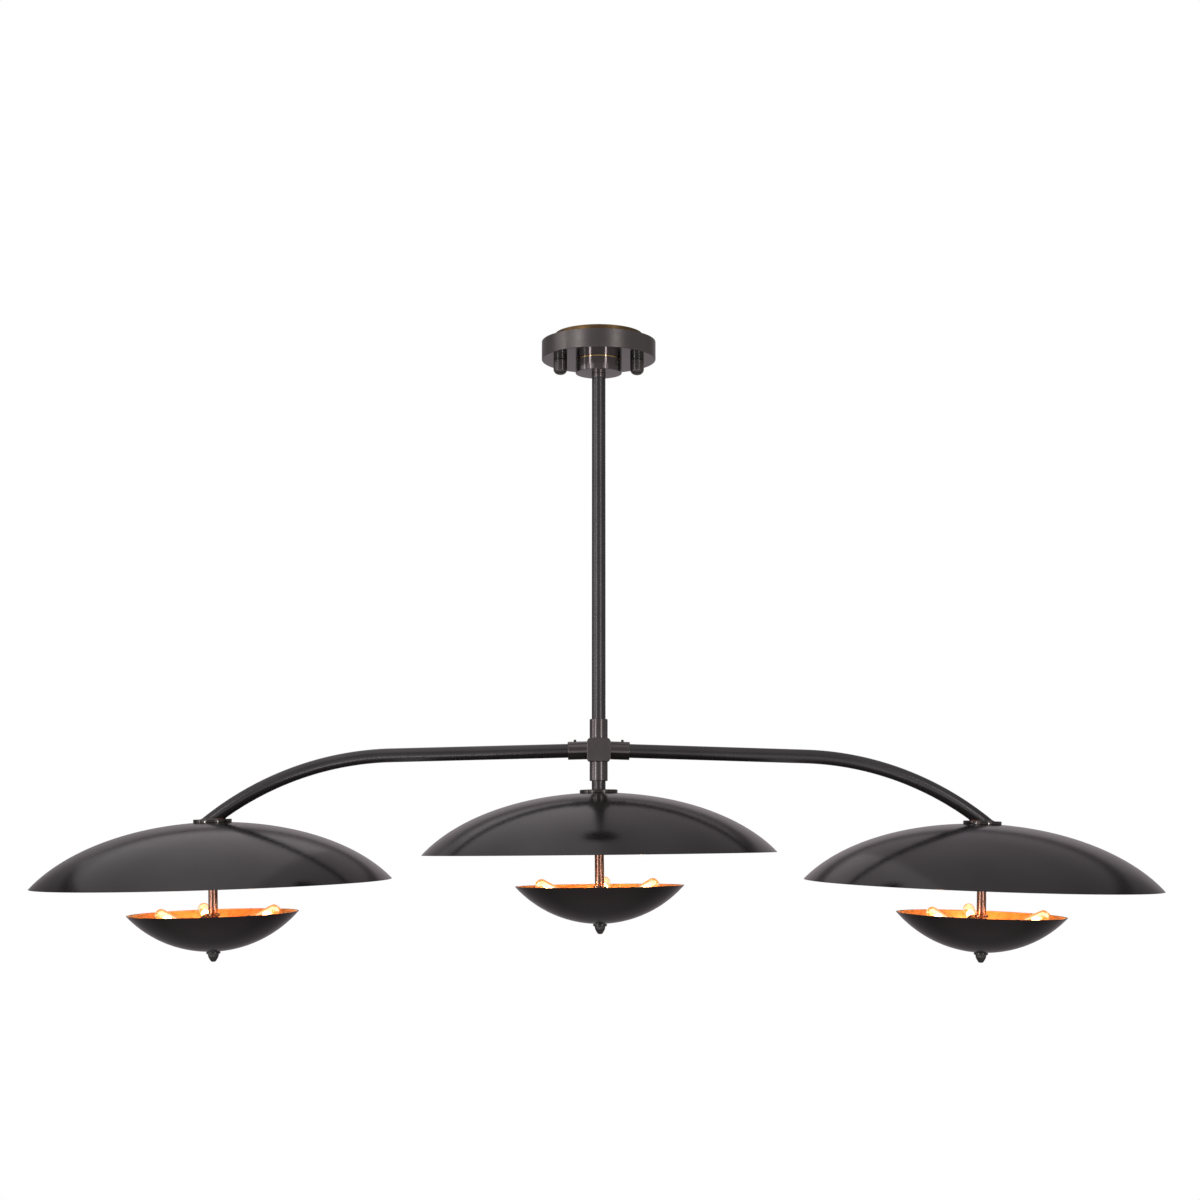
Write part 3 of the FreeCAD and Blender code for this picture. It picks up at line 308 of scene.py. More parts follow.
def mottle(tree, shader, spot, colours, patch, gloss, grain):
    # Cloudy tone in patches of so many millimetres, and a roughness that changes with each grain
    clouds = addNode(tree, "ShaderNodeTexNoise", {"Scale": metre / patch, "Detail": 4, "Roughness": 0.55},
                     {"Vector": spot})
    tone = setRamp(addNode(tree, "ShaderNodeValToRGB", links={"Fac": clouds.outputs["Fac"]}),
                   list(zip(noiseSpread, colours)), smooth=False)
    tree.links.new(tone.outputs["Color"], shader.inputs["Base Color"])
    speckle = addNode(tree, "ShaderNodeTexNoise", {"Scale": metre / grain, "Detail": 3}, {"Vector": spot})
    roughness = addNode(tree, "ShaderNodeMapRange",
                        {**between(*noiseSpread), "To Min": gloss[0], "To Max": gloss[1]},
                        {"Value": speckle.outputs["Fac"]})
    tree.links.new(roughness.outputs[0], shader.inputs["Roughness"])
    return tone


def mottled(name, colour, metallic, roughness, colours, patch, gloss, grain, **sockets):
    # Finish that looks the same from every side, clouded on its piece's own coordinates
    finish, tree, shader = newFinish(name, colour, metallic, roughness, **sockets)
    mottle(tree, shader, coordinates(tree), colours, patch, gloss, grain)
    return finish


# Chemically darkened bronze plate under clear lacquer: warm near-black metal with soft-edged reflections
bronze = mottled("darkenedBronze", "#504c4c", 0.87, 0.27, ("#4d494a", "#555152"), 70, (0.255, 0.285), 6)

# The canopy's coarser brushing of the same plate: reflections only as wide soft zones
brushed = mottled("brushedBronze", "#6a6463", 0.88, 0.3, ("#625c5b", "#6b6664"), 40, (0.28, 0.33), 4)

# The same plate on turned parts that were polished before: redder and glossier
polished = mottled("polishedBronze", "#6a6263", 0.92, 0.13, ("#645b5a", "#6f6869"), 30, (0.115, 0.145), 6)

# Black nickel on small turned parts: nearly black, with hard small highlights
blackNickel = mottled("blackNickel", "#534d4c", 0.9, 0.08, ("#4e4847", "#585251"), 12, (0.07, 0.09), 4)

# The finials' deeper, more polished nickel under lacquer: black, with a faint glint from each light
finialNickel = mottled("polishedBlackNickel", "#3a3534", 0.9, 0.06, ("#363130", "#3e3937"), 12,
                       (0.05, 0.07), 4, Coat_Weight=0.6, Coat_Roughness=0.03)

# Enamel on the cap nuts: matt brown-black under a thin gloss coat that shows only the hardest lights
nutEnamel = mottled("nutEnamel", "#3c3533", 0.5, 0.42, ("#38312f", "#403937"), 9, (0.38, 0.46), 3,
                    Coat_Weight=0.7, Coat_Roughness=0.04)

# Brass washer, turned and left bright: a golden line with sharp glints
brass = mottled("turnedBrass", "#ecc892", 1, 0.06, ("#e2b778", "#f3d4a2"), 9, (0.05, 0.08), 2)

# Yellow zinc on pressed steel: brown-gold with cloudy passivation
yellowZinc = mottled("yellowZinc", "#6f543a", 1, 0.4, ("#5f4a36", "#806442"), 18, (0.32, 0.5), 2)

# Bright zinc on threads and nuts: pale grey, slightly dull
zinc = mottled("brightZinc", "#a6a5a2", 1, 0.35, ("#989794", "#b3b2af"), 8, (0.28, 0.42), 1)

# Unglazed steatite of the socket inserts: chalky cream
steatite = mottled("steatite", "#e6dfd0", 0, 0.55, ("#ddd5c4", "#ece6da"), 6, (0.5, 0.62), 1)

# Heat tint where the arm is brazed to its flange: reddish brown, uneven
braze = mottled("brazedSeam", "#5a3a34", 1, 0.3, ("#3c2f2d", "#74463c"), 4, (0.22, 0.4), 1)

# Molybdenum pins of the bulbs: dull silver
pinMetal = mottled("molybdenumPin", "#b0aca6", 1, 0.4, ("#a39f98", "#bdb9b2"), 2, (0.34, 0.48), 1)

# Hot tungsten: the filament gives white light, and each bulb's point light does its lighting
filament, tree, shader = newFinish("hotTungsten", "#ffe9c9", 0, 0.6, Emission_Color=linear("#ffcf92"),
                                   Emission_Strength=14)
filament.cycles.emission_sampling = "NONE"

# Clear quartz of the bulbs, warmed by its filament: a glassy edge with an orange glow
quartz, tree, shader = newFinish("clearQuartz", "#fff1e0", 0, 0.02, Transmission_Weight=1, IOR=1.46,
                                 Emission_Color=linear("#ff9a48"), Emission_Strength=0.2)
quartz.cycles.emission_sampling = "NONE"

spunSizes = {"patch": 90, "grain": 5, "marks": 2.2, "markDeep": 0.2}    # mm
leafSizes = {
    "patch": 16,
    "grain": 2,
    "sheet": 25,             # from seam to seam
    "ripple": 14,            # from wave to wave of the torn edges
    "swing": 22,             # from end to end of the waves, which use less than half of it
    "seam": (0.05, 0.01),    # its edge and its middle, as shares of a sheet
    "seamDark": 0.36,
}


def spunBronze(side, part, colours, gloss):
    # Sheet spun on a lathe and then darkened: faint tool marks run in rings round the lamp's axis
    finish, tree, shader = newFinish(side + part + "Bronze", colours[0], 1, gloss[0])
    spot = coordinates(tree, lampPlaces[side])
    mottle(tree, shader, spot, colours, spunSizes["patch"], gloss, spunSizes["grain"])
    flat = addNode(tree, "ShaderNodeVectorMath", {1: (1, 1, 0)}, {0: spot}, operation="MULTIPLY")
    radius = addNode(tree, "ShaderNodeVectorMath", links={0: flat.outputs[0]}, operation="LENGTH")
    rings = addNode(tree, "ShaderNodeTexNoise", {"Scale": metre / spunSizes["marks"], "Detail": 3},
                    {"W": radius.outputs["Value"]}, noise_dimensions="1D")
    bump = addNode(tree, "ShaderNodeBump", {"Strength": 0.05, "Distance": spunSizes["markDeep"] * mm},
                   {"Height": rings.outputs["Fac"]})
    tree.links.new(bump.outputs[0], shader.inputs["Normal"])
    return finish


def leafGold(side):
    # Copper-gold leaf over red primer, sealed: warm and uneven, with thin dark seams between its sheets
    finish, tree, shader = newFinish(side + "LeafGold", "#f0b67e", 1, 0.36)
    spot = coordinates(tree, lampPlaces[side])
    tone = mottle(tree, shader, spot, ("#e5a76c", "#f8c590"), leafSizes["patch"], (0.3, 0.46),
                  leafSizes["grain"])
    waves = addNode(tree, "ShaderNodeTexNoise", {"Scale": metre / leafSizes["ripple"], "Detail": 3},
                    {"Vector": spot})
    bent = addNode(tree, "ShaderNodeVectorMath", {1: [leafSizes["swing"] * mm] * 3},
                   {0: waves.outputs["Color"], 2: spot}, operation="MULTIPLY_ADD")
    seams = addNode(tree, "ShaderNodeTexVoronoi", {"Scale": metre / leafSizes["sheet"]},
                    {"Vector": bent.outputs[0]}, feature="DISTANCE_TO_EDGE")
    isSeam = addNode(tree, "ShaderNodeMapRange",
                     {**between(*leafSizes["seam"]), "To Max": leafSizes["seamDark"]},
                     {"Value": seams.outputs["Distance"]})
    worn = addNode(tree, "ShaderNodeMix", {7: linear("#a35a2c")},
                   {0: isSeam.outputs[0], 6: tone.outputs["Color"]}, data_type="RGBA")
    tree.links.new(worn.outputs[2], shader.inputs["Base Color"])
    return finish


shadeBronze = {side: spunBronze(side, "Shade", ("#4d494a", "#524f50"), (0.15, 0.2)) for side in sides}
bowlBronze = {side: spunBronze(side, "Bowl", ("#352f30", "#3b3536"), (0.2, 0.26)) for side in sides}
leaf = {side: leafGold(side) for side in sides}

# Copper-plated tube of the lamp spindles, lacquered: warm pink-brown with clean stripes of light
copperTube = mottled("lacqueredCopper", "#785b50", 0.95, 0.13, ("#6f5247", "#826458"), 14, (0.12, 0.15), 4)

# The canopy's underside, polished flat before it was darkened: mirrors the nuts and the collar
mirrored = mottled("mirroredBronze", "#645f60", 1, 0.08, ("#605b5c", "#696465"), 40, (0.06, 0.11), 4)

# Matt white paint of the studio's floor: plain, without gloss
paleFloor, tree, shader = newFinish("paleFloor", "#fafafa", 0, 0.6)
print("finishes made")


# Making pieces: profiles are in mm as (radius, height, rounding)

pieceSizes = {
    "soft": 0.2,          # rounding of a corner that names none
    "large": 2,           # roundings above this get more segments
    "segments": 3,
    "largeSegments": 8,
    "around": 48,         # faces round a turned piece that names no number
    "weld": 1e-6,         # metres within which vertices are one
    "sharp": 40,          # degrees from which an edge stays sharp
}


def only(kind, items):
    return [item for item in items if isinstance(item, kind)]


def rounded(bm, geom, offset, segments=pieceSizes["segments"], affect="VERTICES"):
    bmesh.ops.bevel(bm, geom=geom, offset=offset * mm, offset_type="OFFSET", segments=segments, profile=0.5,
                    affect=affect, material=-1)


def tidied(bm):
    # Doubles merged and normals outwards
    bmesh.ops.remove_doubles(bm, verts=bm.verts, dist=pieceSizes["weld"])
    bmesh.ops.recalc_face_normals(bm, faces=bm.faces)


def tubeCorners(inner, outer, start, end):
    return [(inner, start), (outer, start), (outer, end), (inner, end)]


def profile(bm, corners, closed=True, soft=pieceSizes["soft"]):
    # Wire through a few corners, each rounded by its own third number or else softly
    verts = [bm.verts.new((corner[0] * mm, 0, corner[1] * mm)) for corner in corners]
    for first, second in zip(verts, verts[1:]):
        bm.edges.new((first, second))
    if closed:
        bm.edges.new((verts[-1], verts[0]))
    for vert, corner in zip(verts, corners):
        rounding = corner[2] if len(corner) > 2 else soft
        if rounding and corner[0] > 0:
            size = "largeSegments" if rounding > pieceSizes["large"] else "segments"
            rounded(bm, [vert], rounding, pieceSizes[size])


def arc(bm, start, centre, angle, steps):
    # Row of edges from a vertex round a centre in the profile's plane; gives the last vertex
    made = bmesh.ops.spin(bm, geom=[start], cent=centre, axis=(0, 1, 0), angle=angle, steps=steps)
    return only(bmesh.types.BMVert, made["geom_last"])[0]


def ellipse(bm, radius, height, start, end, middle, steps):
    # Arc of an upright ellipse from one radius to another, its middle so far above zero
    first, last = math.asin(start / radius), math.asin(end / radius)
    older = set(bm.verts)
    top = bm.verts.new((radius * math.sin(first) * mm, 0, radius * math.cos(first) * mm))
    low = arc(bm, top, (0, 0, 0), last - first, steps)
    made = [vert for vert in bm.verts if vert not in older]
    bmesh.ops.transform(bm, matrix=raised(middle) @ Matrix.Diagonal((1, 1, height / radius, 1)), verts=made)
    return top, low


def spin(bm, steps):
    # Full turn of a profile about Z, its seam and poles closed
    bmesh.ops.spin(bm, geom=bm.verts[:] + bm.edges[:], cent=(0, 0, 0), axis=(0, 0, 1), angle=2 * math.pi,
                   steps=steps, use_merge=True)
    tidied(bm)


def lathe(corners, steps=pieceSizes["around"], closed=True, soft=pieceSizes["soft"]):
    # Turned shape about Z
    bm = bmesh.new()
    profile(bm, corners, closed, soft)
    spin(bm, steps)
    return bm


def added(target, source, place):
    # The source's shape, moved to its place and joined to the target's
    mesh = bpy.data.meshes.new("moved")
    source.transform(place)
    source.to_mesh(mesh)
    source.free()
    target.from_mesh(mesh)
    bpy.data.meshes.remove(mesh)


def piece(name, bm, place, body, nodes, finishes, choose=None):
    # Object from a shape: finish by face, smooth faces with flat ones kept flat, riding on its body
    bm.transform(place)
    if choose:
        back = place.inverted()
        turn = back.to_3x3()
        for face in bm.faces:
            face.material_index = choose((back @ face.calc_center_median()) / mm, turn @ face.normal)
    mesh = bpy.data.meshes.new(name)
    bm.to_mesh(mesh)
    bm.free()
    for finish in finishes:
        mesh.materials.append(finish)
    mesh.shade_smooth()
    mesh.set_sharp_from_angle(angle=math.radians(pieceSizes["sharp"]))
    made = bpy.data.objects.new(name, mesh)
    scene.collection.objects.link(made)
    even = made.modifiers.new("even", "WEIGHTED_NORMAL")
    even.keep_sharp = True
    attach(made, body)
    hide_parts(*nodes)
    return made


# Ceiling side

canopySizes = {
    "radius": 66,
    "sheet": 1.2,
    "top": -8.4,
    "bottom": -29.8,
    "hole": 6.4,
    "round": 0.8,
    "mirror": -0.95,       # the mirror finish is on faces that look down this much
    "steps": 160,
    "pinRadius": 1.2,
    "pinTall": 3.4,
    "pinPlace": -16,
    "pinSteps": 16,
}
c = canopySizes
inner, floor = c["radius"] - c["sheet"], c["bottom"] + c["sheet"]
bm = lathe([(c["hole"], c["bottom"]), (c["radius"], c["bottom"], c["round"]), (c["radius"], c["top"]),
            (inner, c["top"]), (inner, floor), (c["hole"], floor)], steps=c["steps"])
pinTop = floor + c["pinTall"]
pin = lathe([(0, floor), (c["pinRadius"], floor, 0), (c["pinRadius"], pinTop), (0, pinTop)],
            steps=c["pinSteps"], closed=False)
added(bm, pin, Matrix.Translation((0, c["pinPlace"] * mm, 0)))
piece("canopyDish", bm, here, "ceiling_mount", ["canopy"], [brushed, mirrored],
      lambda middle, normal: int(normal.z < canopySizes["mirror"]))

capSizes = {"radius": 8, "bottom": -46.8, "round": 6.3, "edge": 0.4, "bore": 2.2, "boreEnd": -41,
            "place": 44.45}
c = capSizes
top = canopySizes["bottom"]
bm = bmesh.new()
for way in (-1, 1):
    nut = lathe([(0, c["bottom"]), (c["radius"], c["bottom"], c["round"]), (c["radius"], top, c["edge"]),
                 (c["bore"], top), (c["bore"], c["boreEnd"]), (0, c["boreEnd"])], closed=False)
    added(bm, nut, Matrix.Translation((way * c["place"] * mm, 0, 0)))
piece("capNuts", bm, here, "ceiling_mount", ["cap_nuts"], [nutEnamel])

washerSizes = {"hole": 6.4, "radius": 26, "thick": 0.7, "edge": 0.1, "steps": 96}
w = washerSizes
corners = tubeCorners(w["hole"], w["radius"], canopySizes["bottom"] - w["thick"], canopySizes["bottom"])
piece("brassWasher", lathe(corners, steps=w["steps"], soft=w["edge"]), here, "ceiling_mount",
      ["friction_washer"], [brass])

collarSizes = {"hole": 6.4, "radius": 26.8, "wall": 2, "top": -30.6, "bottom": -45.5, "topRound": 0.3,
               "lowRound": 0.6, "steps": 96}
c = collarSizes
inner, floor = c["radius"] - c["wall"], c["bottom"] + c["wall"]
corners = [(c["hole"], c["bottom"]), (c["radius"], c["bottom"], c["lowRound"]),
           (c["radius"], c["top"], c["topRound"]), (inner, c["top"]), (inner, floor), (c["hole"], floor)]
piece("stemCollar", lathe(corners, steps=c["steps"]), here, "hanger", ["stem_collar"],
      [polished])
print("ceiling side made")


# Stem and hub

couplerSizes = {"inner": 6.35, "radius": 8.2, "top": -45.5, "bottom": -50.9, "topRound": 0.3, "lowRound": 0.5}
c = couplerSizes
corners = [(c["inner"], c["bottom"]), (c["radius"], c["bottom"], c["lowRound"]),
           (c["radius"], c["top"], c["topRound"]), (c["inner"], c["top"])]
piece("stemCoupler", lathe(corners), here, "hanger", ["stem_coupler"], [polished])

stemSizes = {"inner": 6.65, "radius": 7.85, "top": -50.9, "bottom": -460.9, "lowerTop": -501.1,
             "lowerBottom": -525.7, "steps": 64}
s = stemSizes
corners = tubeCorners(s["inner"], s["radius"], s["bottom"], s["top"])
piece("stemTube", lathe(corners, steps=s["steps"]), here, "hanger", ["stem"], [bronze])
corners = tubeCorners(s["inner"], s["radius"], s["lowerBottom"], s["lowerTop"])
piece("lowerStem", lathe(corners, steps=s["steps"]), here, "hanger", ["lower_stem"],
      [bronze])

hubSizes = {
    "block": 27,
    "corner": 5,
    "cornerSegments": 8,
    "edge": 1,
    "socket": [(7.95, 35, 0.3), (10.25, 35, 0.7), (10.25, 10, 0), (5.5, 10, 0), (5.5, 20, 0), (7.95, 20, 0)],
    "socketSteps": 64,
    "droop": {"left": 1.5, "right": 1.75},
    "past": 0.1,                 # the sockets' polish starts so far outside the block
    "edgeLooks": (0.2, 0.97),    # share of front or back in the looks of the block's polished edges
}
h = hubSizes


def runsDeep(edge):
    # From the block's front to its back
    return abs(edge.verts[0].co.y - edge.verts[1].co.y) > hubSizes["block"] / 2 * mm


def hubPolish(middle, normal):
    outside = max(abs(middle.x), abs(middle.z)) > hubSizes["block"] / 2 + hubSizes["past"]
    low, high = hubSizes["edgeLooks"]
    return int(outside or low < abs(normal.y) < high)


bm = bmesh.new()
bmesh.ops.create_cube(bm, size=h["block"] * mm)
rounded(bm, [edge for edge in bm.edges if runsDeep(edge)], h["corner"], h["cornerSegments"], "EDGES")
rounded(bm, [edge for edge in bm.edges if not runsDeep(edge)], h["edge"], affect="EDGES")
turns = [-90 - h["droop"]["left"], 90 + h["droop"]["right"], 0, 180]    # degrees from straight up
for turn in turns:
    added(bm, lathe(h["socket"], steps=h["socketSteps"]), Matrix.Rotation(math.radians(turn), 4, "Y"))
piece("hubBlock", bm, Matrix.Translation(hubMiddle), "hanger", ["hub"], [brushed, polished],
      hubPolish)
print("stem and hub made")


# Arms

armSizes = {
    "radius": 7.85,
    "inner": 6.65,
    "start": 20.2,
    "straight": 235,
    "bend": 339,
    "angle": 40.5,         # bent past the foot's angle and cut there
    "foot": -66.5,
    "footAngle": 36.5,
    "bead": 1.1,
    "outer": 0.93,         # share of the tube's radius past which its end widens into the bead
    "tintEnd": 430,        # the heat tint is on the side towards the hub
    "around": 64,
    "steps": 60,
}


def bentTube():
    # Straight tube from the hub, carried on round the bend
    a = armSizes
    bm = bmesh.new()
    lay = Matrix.Translation((a["start"] * mm, 0, 0)) @ Matrix.Rotation(math.pi / 2, 4, "Y")
    for radius in (a["radius"], a["inner"]):
        bmesh.ops.create_circle(bm, segments=a["around"], radius=radius * mm, cap_ends=False, matrix=lay)
    faces = bmesh.ops.bridge_loops(bm, edges=bm.edges[:])["faces"]
    grown = bmesh.ops.extrude_face_region(bm, geom=faces)["geom"]
    bmesh.ops.translate(bm, verts=only(bmesh.types.BMVert, grown),
                        vec=((a["straight"] - a["start"]) * mm, 0, 0))
    bmesh.ops.spin(bm, geom=only(bmesh.types.BMFace, grown), cent=(a["straight"] * mm, 0, -a["bend"] * mm),
                   axis=(0, 1, 0), angle=math.radians(a["angle"]), steps=a["steps"])
    bmesh.ops.remove_doubles(bm, verts=bm.verts, dist=pieceSizes["weld"])
    return bm


def beadedFoot(bm):
    # Tube cut level above its flange, then widened into the braze bead and closed
    a = armSizes
    level = (a["foot"] + a["bead"]) * mm
    cut = bmesh.ops.bisect_plane(bm, geom=bm.verts[:] + bm.edges[:] + bm.faces[:], plane_co=(0, 0, level),
                                 plane_no=(0, 0, -1), clear_outer=True)["geom_cut"]
    slope = math.radians(a["footAngle"])
    reach = (a["straight"] + a["bend"] * math.sin(slope)) * mm
    wide = a["radius"] / math.sin(slope) * mm
    grown = bmesh.ops.extrude_edge_only(bm, edges=only(bmesh.types.BMEdge, cut))["geom"]
    verts = only(bmesh.types.BMVert, grown)
    bmesh.ops.translate(bm, verts=verts, vec=(a["bead"] / math.tan(slope) * mm, 0, -a["bead"] * mm))
    outer = [vert for vert in verts
             if math.hypot((vert.co.x - reach) / wide, vert.co.y / (a["radius"] * mm)) > a["outer"]]
    spread = Matrix.Diagonal((1 + a["bead"] * mm / wide, 1 + a["bead"] / a["radius"], 1, 1))
    bmesh.ops.transform(bm, matrix=spread, space=Matrix.Translation((-reach, 0, 0)), verts=outer)
    ends = [edge for edge in only(bmesh.types.BMEdge, grown) if all(vert in verts for vert in edge.verts)]
    bmesh.ops.bridge_loops(bm, edges=ends)
    tidied(bm)


def armTint(middle, normal):
    return int(middle.z < armSizes["foot"] + armSizes["bead"] and middle.x < armSizes["tintEnd"])


for side in ("left", "right"):
    bm = bentTube()
    beadedFoot(bm)
    place = lampPlaces[side].copy()
    place.translation = hubMiddle
    piece(side + "ArmTube", bm, place, "hanger", [side + "_arm"], [bronze, braze], armTint)
print("arms made")


# Lamps: heights are from each lamp's zero, or from the bowl's rim for what sits in the bowl

flangeSizes = {"hole": 4.1, "radius": 21.5, "lowRound": 0.4, "topRound": 0.8, "steps": 96}


def flangeDisc(side):
    f = flangeSizes
    thick = lampSizes["flangeThick"]
    corners = [(f["hole"], 0), (f["radius"], 0, f["lowRound"]), (f["radius"], thick, f["topRound"]),
               (f["hole"], thick)]
    piece(side + "FlangeDisc", lathe(corners, steps=f["steps"]), lampPlaces[side], "hanger",
          [side + "_flange"], [blackNickel])


shadeSizes = {
    "rim": 200,
    "flat": 22,              # radius of the flat round the hole
    "hole": 4.1,
    "halfWidth": 225,        # of the full ellipse that the shade is cut from
    "halfHeight": 126.6,
    "middle": -126,
    "sheet": 1.2,
    "lip": 0.35,
    "leafFrom": -0.05,       # the leaf is on faces that look down, and ends so far above the rim
    "leafEnd": 0.5,
    "arcSteps": 48,
    "steps": 256,
}


def shadeLeaf(middle, normal):
    end = -lampSizes["shadeDepth"] + shadeSizes["leafEnd"]
    return int(normal.z < shadeSizes["leafFrom"] and middle.z > end)


def shadeDome(side):
    s = shadeSizes
    bm = bmesh.new()
    outTop, outLow = ellipse(bm, s["halfWidth"], s["halfHeight"], s["flat"], s["rim"], s["middle"],
                             s["arcSteps"])
    inWide, inHigh = s["halfWidth"] - s["sheet"], s["halfHeight"] - s["sheet"]
    drop = -lampSizes["shadeDepth"] - s["middle"]
    inRim = inWide * math.sqrt(1 - (drop / inHigh) ** 2)
    inTop, inLow = ellipse(bm, inWide, inHigh, s["flat"], inRim, s["middle"], s["arcSteps"])
    bm.edges.new((outLow, inLow))
    outHole = bm.verts.new((s["hole"] * mm, 0, outTop.co.z))
    inHole = bm.verts.new((s["hole"] * mm, 0, inTop.co.z))
    for pair in ((outTop, outHole), (outHole, inHole), (inHole, inTop)):
        bm.edges.new(pair)
    rounded(bm, [outLow, inLow], s["lip"])
    spin(bm, s["steps"])
    piece(side + "ShadeDome", bm, lampPlaces[side], "hanger", [side + "_shade"],
          [shadeBronze[side], leaf[side]], shadeLeaf)


spindleSizes = {"inner": 4.1, "radius": 5.25, "top": -6.4, "gap": 0.3}


def spindleTube(side):
    s = spindleSizes
    fall = lampSizes["shadeDepth"] + lampSizes["gap"][side]
    corners = tubeCorners(s["inner"], s["radius"], s["top"], -fall - s["gap"])
    piece(side + "SpindleTube", lathe(corners), lampPlaces[side], "hanger",
          [side + "_spindle"], [copperTube])


clusterSizes = {
    "cone": [(0, -15.7), (4.1, -15.7), (4.1, -0.3), (7.9, -0.3, 0.5), (7.9, -3.3, 0.4), (6, -3.3), (6, -15.6),
             (10.76, -15.6, 0.3), (19.24, -32.6, 0.8), (8.5, -37, 0.5), (8.5, -40.6), (2.9, -40.6),
             (2.9, -49, 0.4), (0, -49)],
    "coneSteps": 64,
    "stub": [(0, -30), (5.5, -30), (5.5, -37, 0), (0, -37)],
    "stubSteps": 32,
    "sleeve": [(8.6, 0, 0.2), (9.5, 0, 0.35), (9.5, -33.5, 1.2), (5.5, -33.5, 0), (5.5, -32.5, 0),
               (8.6, -32.5)],
}


def clusterCone(side):
    c = clusterSizes
    bm = lathe(c["cone"], steps=c["coneSteps"], closed=False)
    for number in bulbNumbers:
        stub = lathe(c["stub"], steps=c["stubSteps"], closed=False)
        added(bm, stub, bowlPlaces[side].inverted() @ socketPlaces[side, number])
    piece(side + "ClusterCone", bm, bowlPlaces[side], "hanger", [side + "_cluster"],
          [polished])


def socketSleeves(side):
    bm = bmesh.new()
    for number in bulbNumbers:
        added(bm, lathe(clusterSizes["sleeve"]), socketPlaces[side, number])
    piece(side + "SocketSleeves", bm, here, "hanger", [side + "_socket_sleeves"], [bronze])


bowlSizes = {
    "sphere": 128.3,       # radius of the full sphere that the bowl is cut from
    "middle": 85.9,
    "hole": 3.3,
    "sheet": 1.2,
    "lip": 0.3,
    "leafFrom": 0.05,      # the leaf is on faces that look up, and ends so far below the rim
    "leafEnd": -0.4,
    "arcSteps": 40,
    "steps": 192,
}


def bowlLeaf(middle, normal):
    return int(normal.z > bowlSizes["leafFrom"] and middle.z < bowlSizes["leafEnd"])


def bowlDish(side):
    b = bowlSizes
    bm = bmesh.new()
    low, high = [], []
    for radius in (b["sphere"], b["sphere"] - b["sheet"]):
        rim = math.sqrt(radius ** 2 - b["middle"] ** 2)
        lowest = b["middle"] - math.sqrt(radius ** 2 - b["hole"] ** 2)
        start = bm.verts.new((b["hole"] * mm, 0, lowest * mm))
        swing = math.asin(rim / radius) - math.asin(b["hole"] / radius)
        low.append(start)
        high.append(arc(bm, start, (0, 0, b["middle"] * mm), -swing, b["arcSteps"]))
    bm.edges.new(low)
    bm.edges.new(high)
    rounded(bm, high, b["lip"])
    spin(bm, b["steps"])
    piece(side + "BowlDish", bm, bowlPlaces[side], side + "_bowl_set", [side + "_bowl"],
          [bowlBronze[side], leaf[side]], bowlLeaf)


finialSizes = {
    "knob": [(0, -49.1), (2.95, -49.1), (2.95, -42.5), (7.9, -42.5, 0.4), (7.9, -45, 0.9), (6.2, -45, 0.3),
             (5.9, -48.2, 2), (2.4, -53.7, 1), (0, -53.7)],
}


def finialKnob(side):
    piece(side + "FinialKnob", lathe(finialSizes["knob"], closed=False), bowlPlaces[side],
          side + "_bowl_set", [side + "_finial"], [finialNickel])


# Bulbs: heights are from the socket's mouth, along its axis

bulbSizes = {
    "glass": [(0, 36), (1.6, 36, 1.2), (1.6, 34.4, 0.6), (7, 34.4, 6), (7, 3, 1.4), (0, 3)],
    "hollow": [(0, 33.5), (6.1, 33.5, 5.1), (6.1, 6.4, 1), (0, 6.4)],
    "glassSteps": 32,
    "foot": (4, 11.6, 16.1),
    "footMiddle": -4.15,
    "footRound": 1,
    "wire": 0.22,
    "wireSides": 5,
    "coil": 0.88,            # radius
    "coilStart": 9.7,
    "coilTall": 15.4,
    "coilTurns": 12,
    "coilSteps": 120,
    "hotFrom": 9.3,          # the wires glow above this
    "stem": [(0, 6.4), (0.45, 6.4), (0.45, 9.4), (0, 9.4)],
    "pin": [(0, -19.2), (0.6, -19.2, 0.3), (0.6, -12.2, 0), (0, -12.2)],
    "pinSteps": 12,
    "pinPlace": 4.5,
    "glowColour": "#ffd2a0",
    "glowPower": 0.6,        # watts
    "glowRadius": 5,
    "glowPlace": 18,
}


def bulbGlass(side, number, body):
    # Capsule with its hollow inside and the pinched foot below
    b = bulbSizes
    bm = lathe(b["hollow"], steps=b["glassSteps"], closed=False, soft=0)
    bmesh.ops.reverse_faces(bm, faces=bm.faces)
    added(bm, lathe(b["glass"], steps=b["glassSteps"], closed=False), here)
    foot = bmesh.new()
    stretch = Matrix.Diagonal((*b["foot"], 1))
    bmesh.ops.create_cube(foot, size=mm, matrix=raised(b["footMiddle"]) @ stretch)
    rounded(foot, foot.edges[:], b["footRound"], affect="EDGES")
    added(bm, foot, here)
    glass = piece(f"{side}Bulb{number}Glass", bm, socketPlaces[side, number], body,
                  [body + "_glass"], [quartz])
    glass.visible_shadow = False


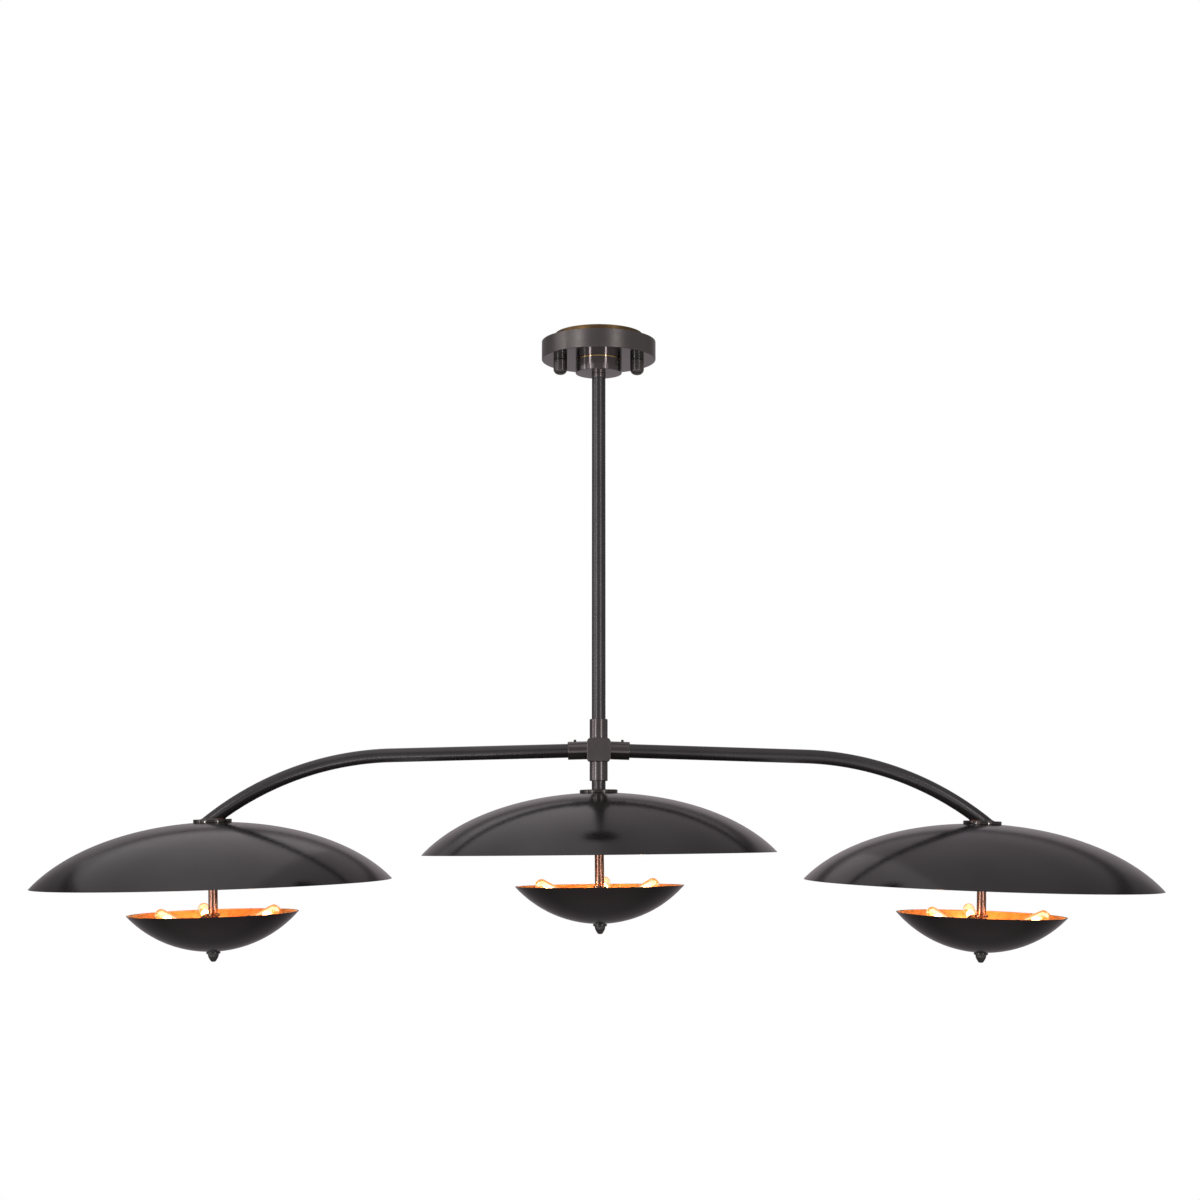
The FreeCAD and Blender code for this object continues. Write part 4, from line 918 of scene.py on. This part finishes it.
def bulbWires(side, number, body):
    # Coiled filament on its stem, and the two pins
    b = bulbSizes
    bm = bmesh.new()
    start = Matrix.Translation((b["coil"] * mm, 0, b["coilStart"] * mm))
    bmesh.ops.create_circle(bm, segments=b["wireSides"], radius=b["wire"] * mm, cap_ends=True,
                            matrix=start @ Matrix.Rotation(math.pi / 2, 4, "X"))
    bmesh.ops.spin(bm, geom=bm.faces[:], cent=(0, 0, 0), axis=(0, 0, 1), angle=2 * math.pi * b["coilTurns"],
                   dvec=(0, 0, b["coilTall"] * mm / b["coilSteps"]), steps=b["coilSteps"])
    tidied(bm)
    added(bm, lathe(b["stem"], steps=b["pinSteps"], closed=False, soft=0), here)
    for way in (-1, 1):
        pin = lathe(b["pin"], steps=b["pinSteps"], closed=False)
        added(bm, pin, Matrix.Translation((0, way * b["pinPlace"] * mm, 0)))
    wires = piece(f"{side}Bulb{number}Wires", bm, socketPlaces[side, number], body,
                  [body + "_wires"], [filament, pinMetal],
                  lambda middle, normal: int(middle.z < b["hotFrom"]))
    wires.visible_shadow = False


def bulbGlow(side, number, body):
    # Point light in the middle of the filament, which goes with its bulb
    b = bulbSizes
    glow = bpy.data.lights.new(body + "Glow", "POINT")
    glow.color = linear(b["glowColour"])[:3]
    glow.energy = b["glowPower"]
    glow.shadow_soft_size = b["glowRadius"] * mm
    glowObject = bpy.data.objects.new(body + "Glow", glow)
    glowObject.location = socketPlaces[side, number] @ Vector((0, 0, b["glowPlace"] * mm))
    scene.collection.objects.link(glowObject)
    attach(glowObject, body)


for side in sides:
    flangeDisc(side)
    shadeDome(side)
    spindleTube(side)
    clusterCone(side)
    socketSleeves(side)
    bowlDish(side)
    finialKnob(side)
    for number in bulbNumbers:
        body = f"{side}_bulb_{number}"
        bulbGlass(side, number, body)
        bulbWires(side, number, body)
        bulbGlow(side, number, body)
print("lamps made")


# CAD pieces that stay, in better finishes

stays = {
    "mounting_plate": yellowZinc, "plate_studs": zinc, "stud_nuts": zinc, "ground_screw": brass,
    "swivel_nipple": zinc, "stop_washer": zinc, "swivel_locknut": zinc, "set_screws": blackNickel,
    "socket_inserts": steatite, "shade_nuts": zinc, "lamp_rods": zinc,
}
for node, finish in stays.items():
    mesh = frame["nodes"][node].data
    for index in range(len(mesh.materials)):
        mesh.materials[index] = finish

# Floor
floorSizes = {"half": 1.8, "height": -2.7}    # metres
bm = bmesh.new()
bmesh.ops.create_grid(bm, x_segments=1, y_segments=1, size=floorSizes["half"],
                      matrix=Matrix.Translation((0, 0, floorSizes["height"])))
mesh = bpy.data.meshes.new("floor")
bm.to_mesh(mesh)
bm.free()
mesh.materials.append(paleFloor)
floorObject = bpy.data.objects.new("floor", mesh)
scene.collection.objects.link(floorObject)
floorObject.visible_glossy = False
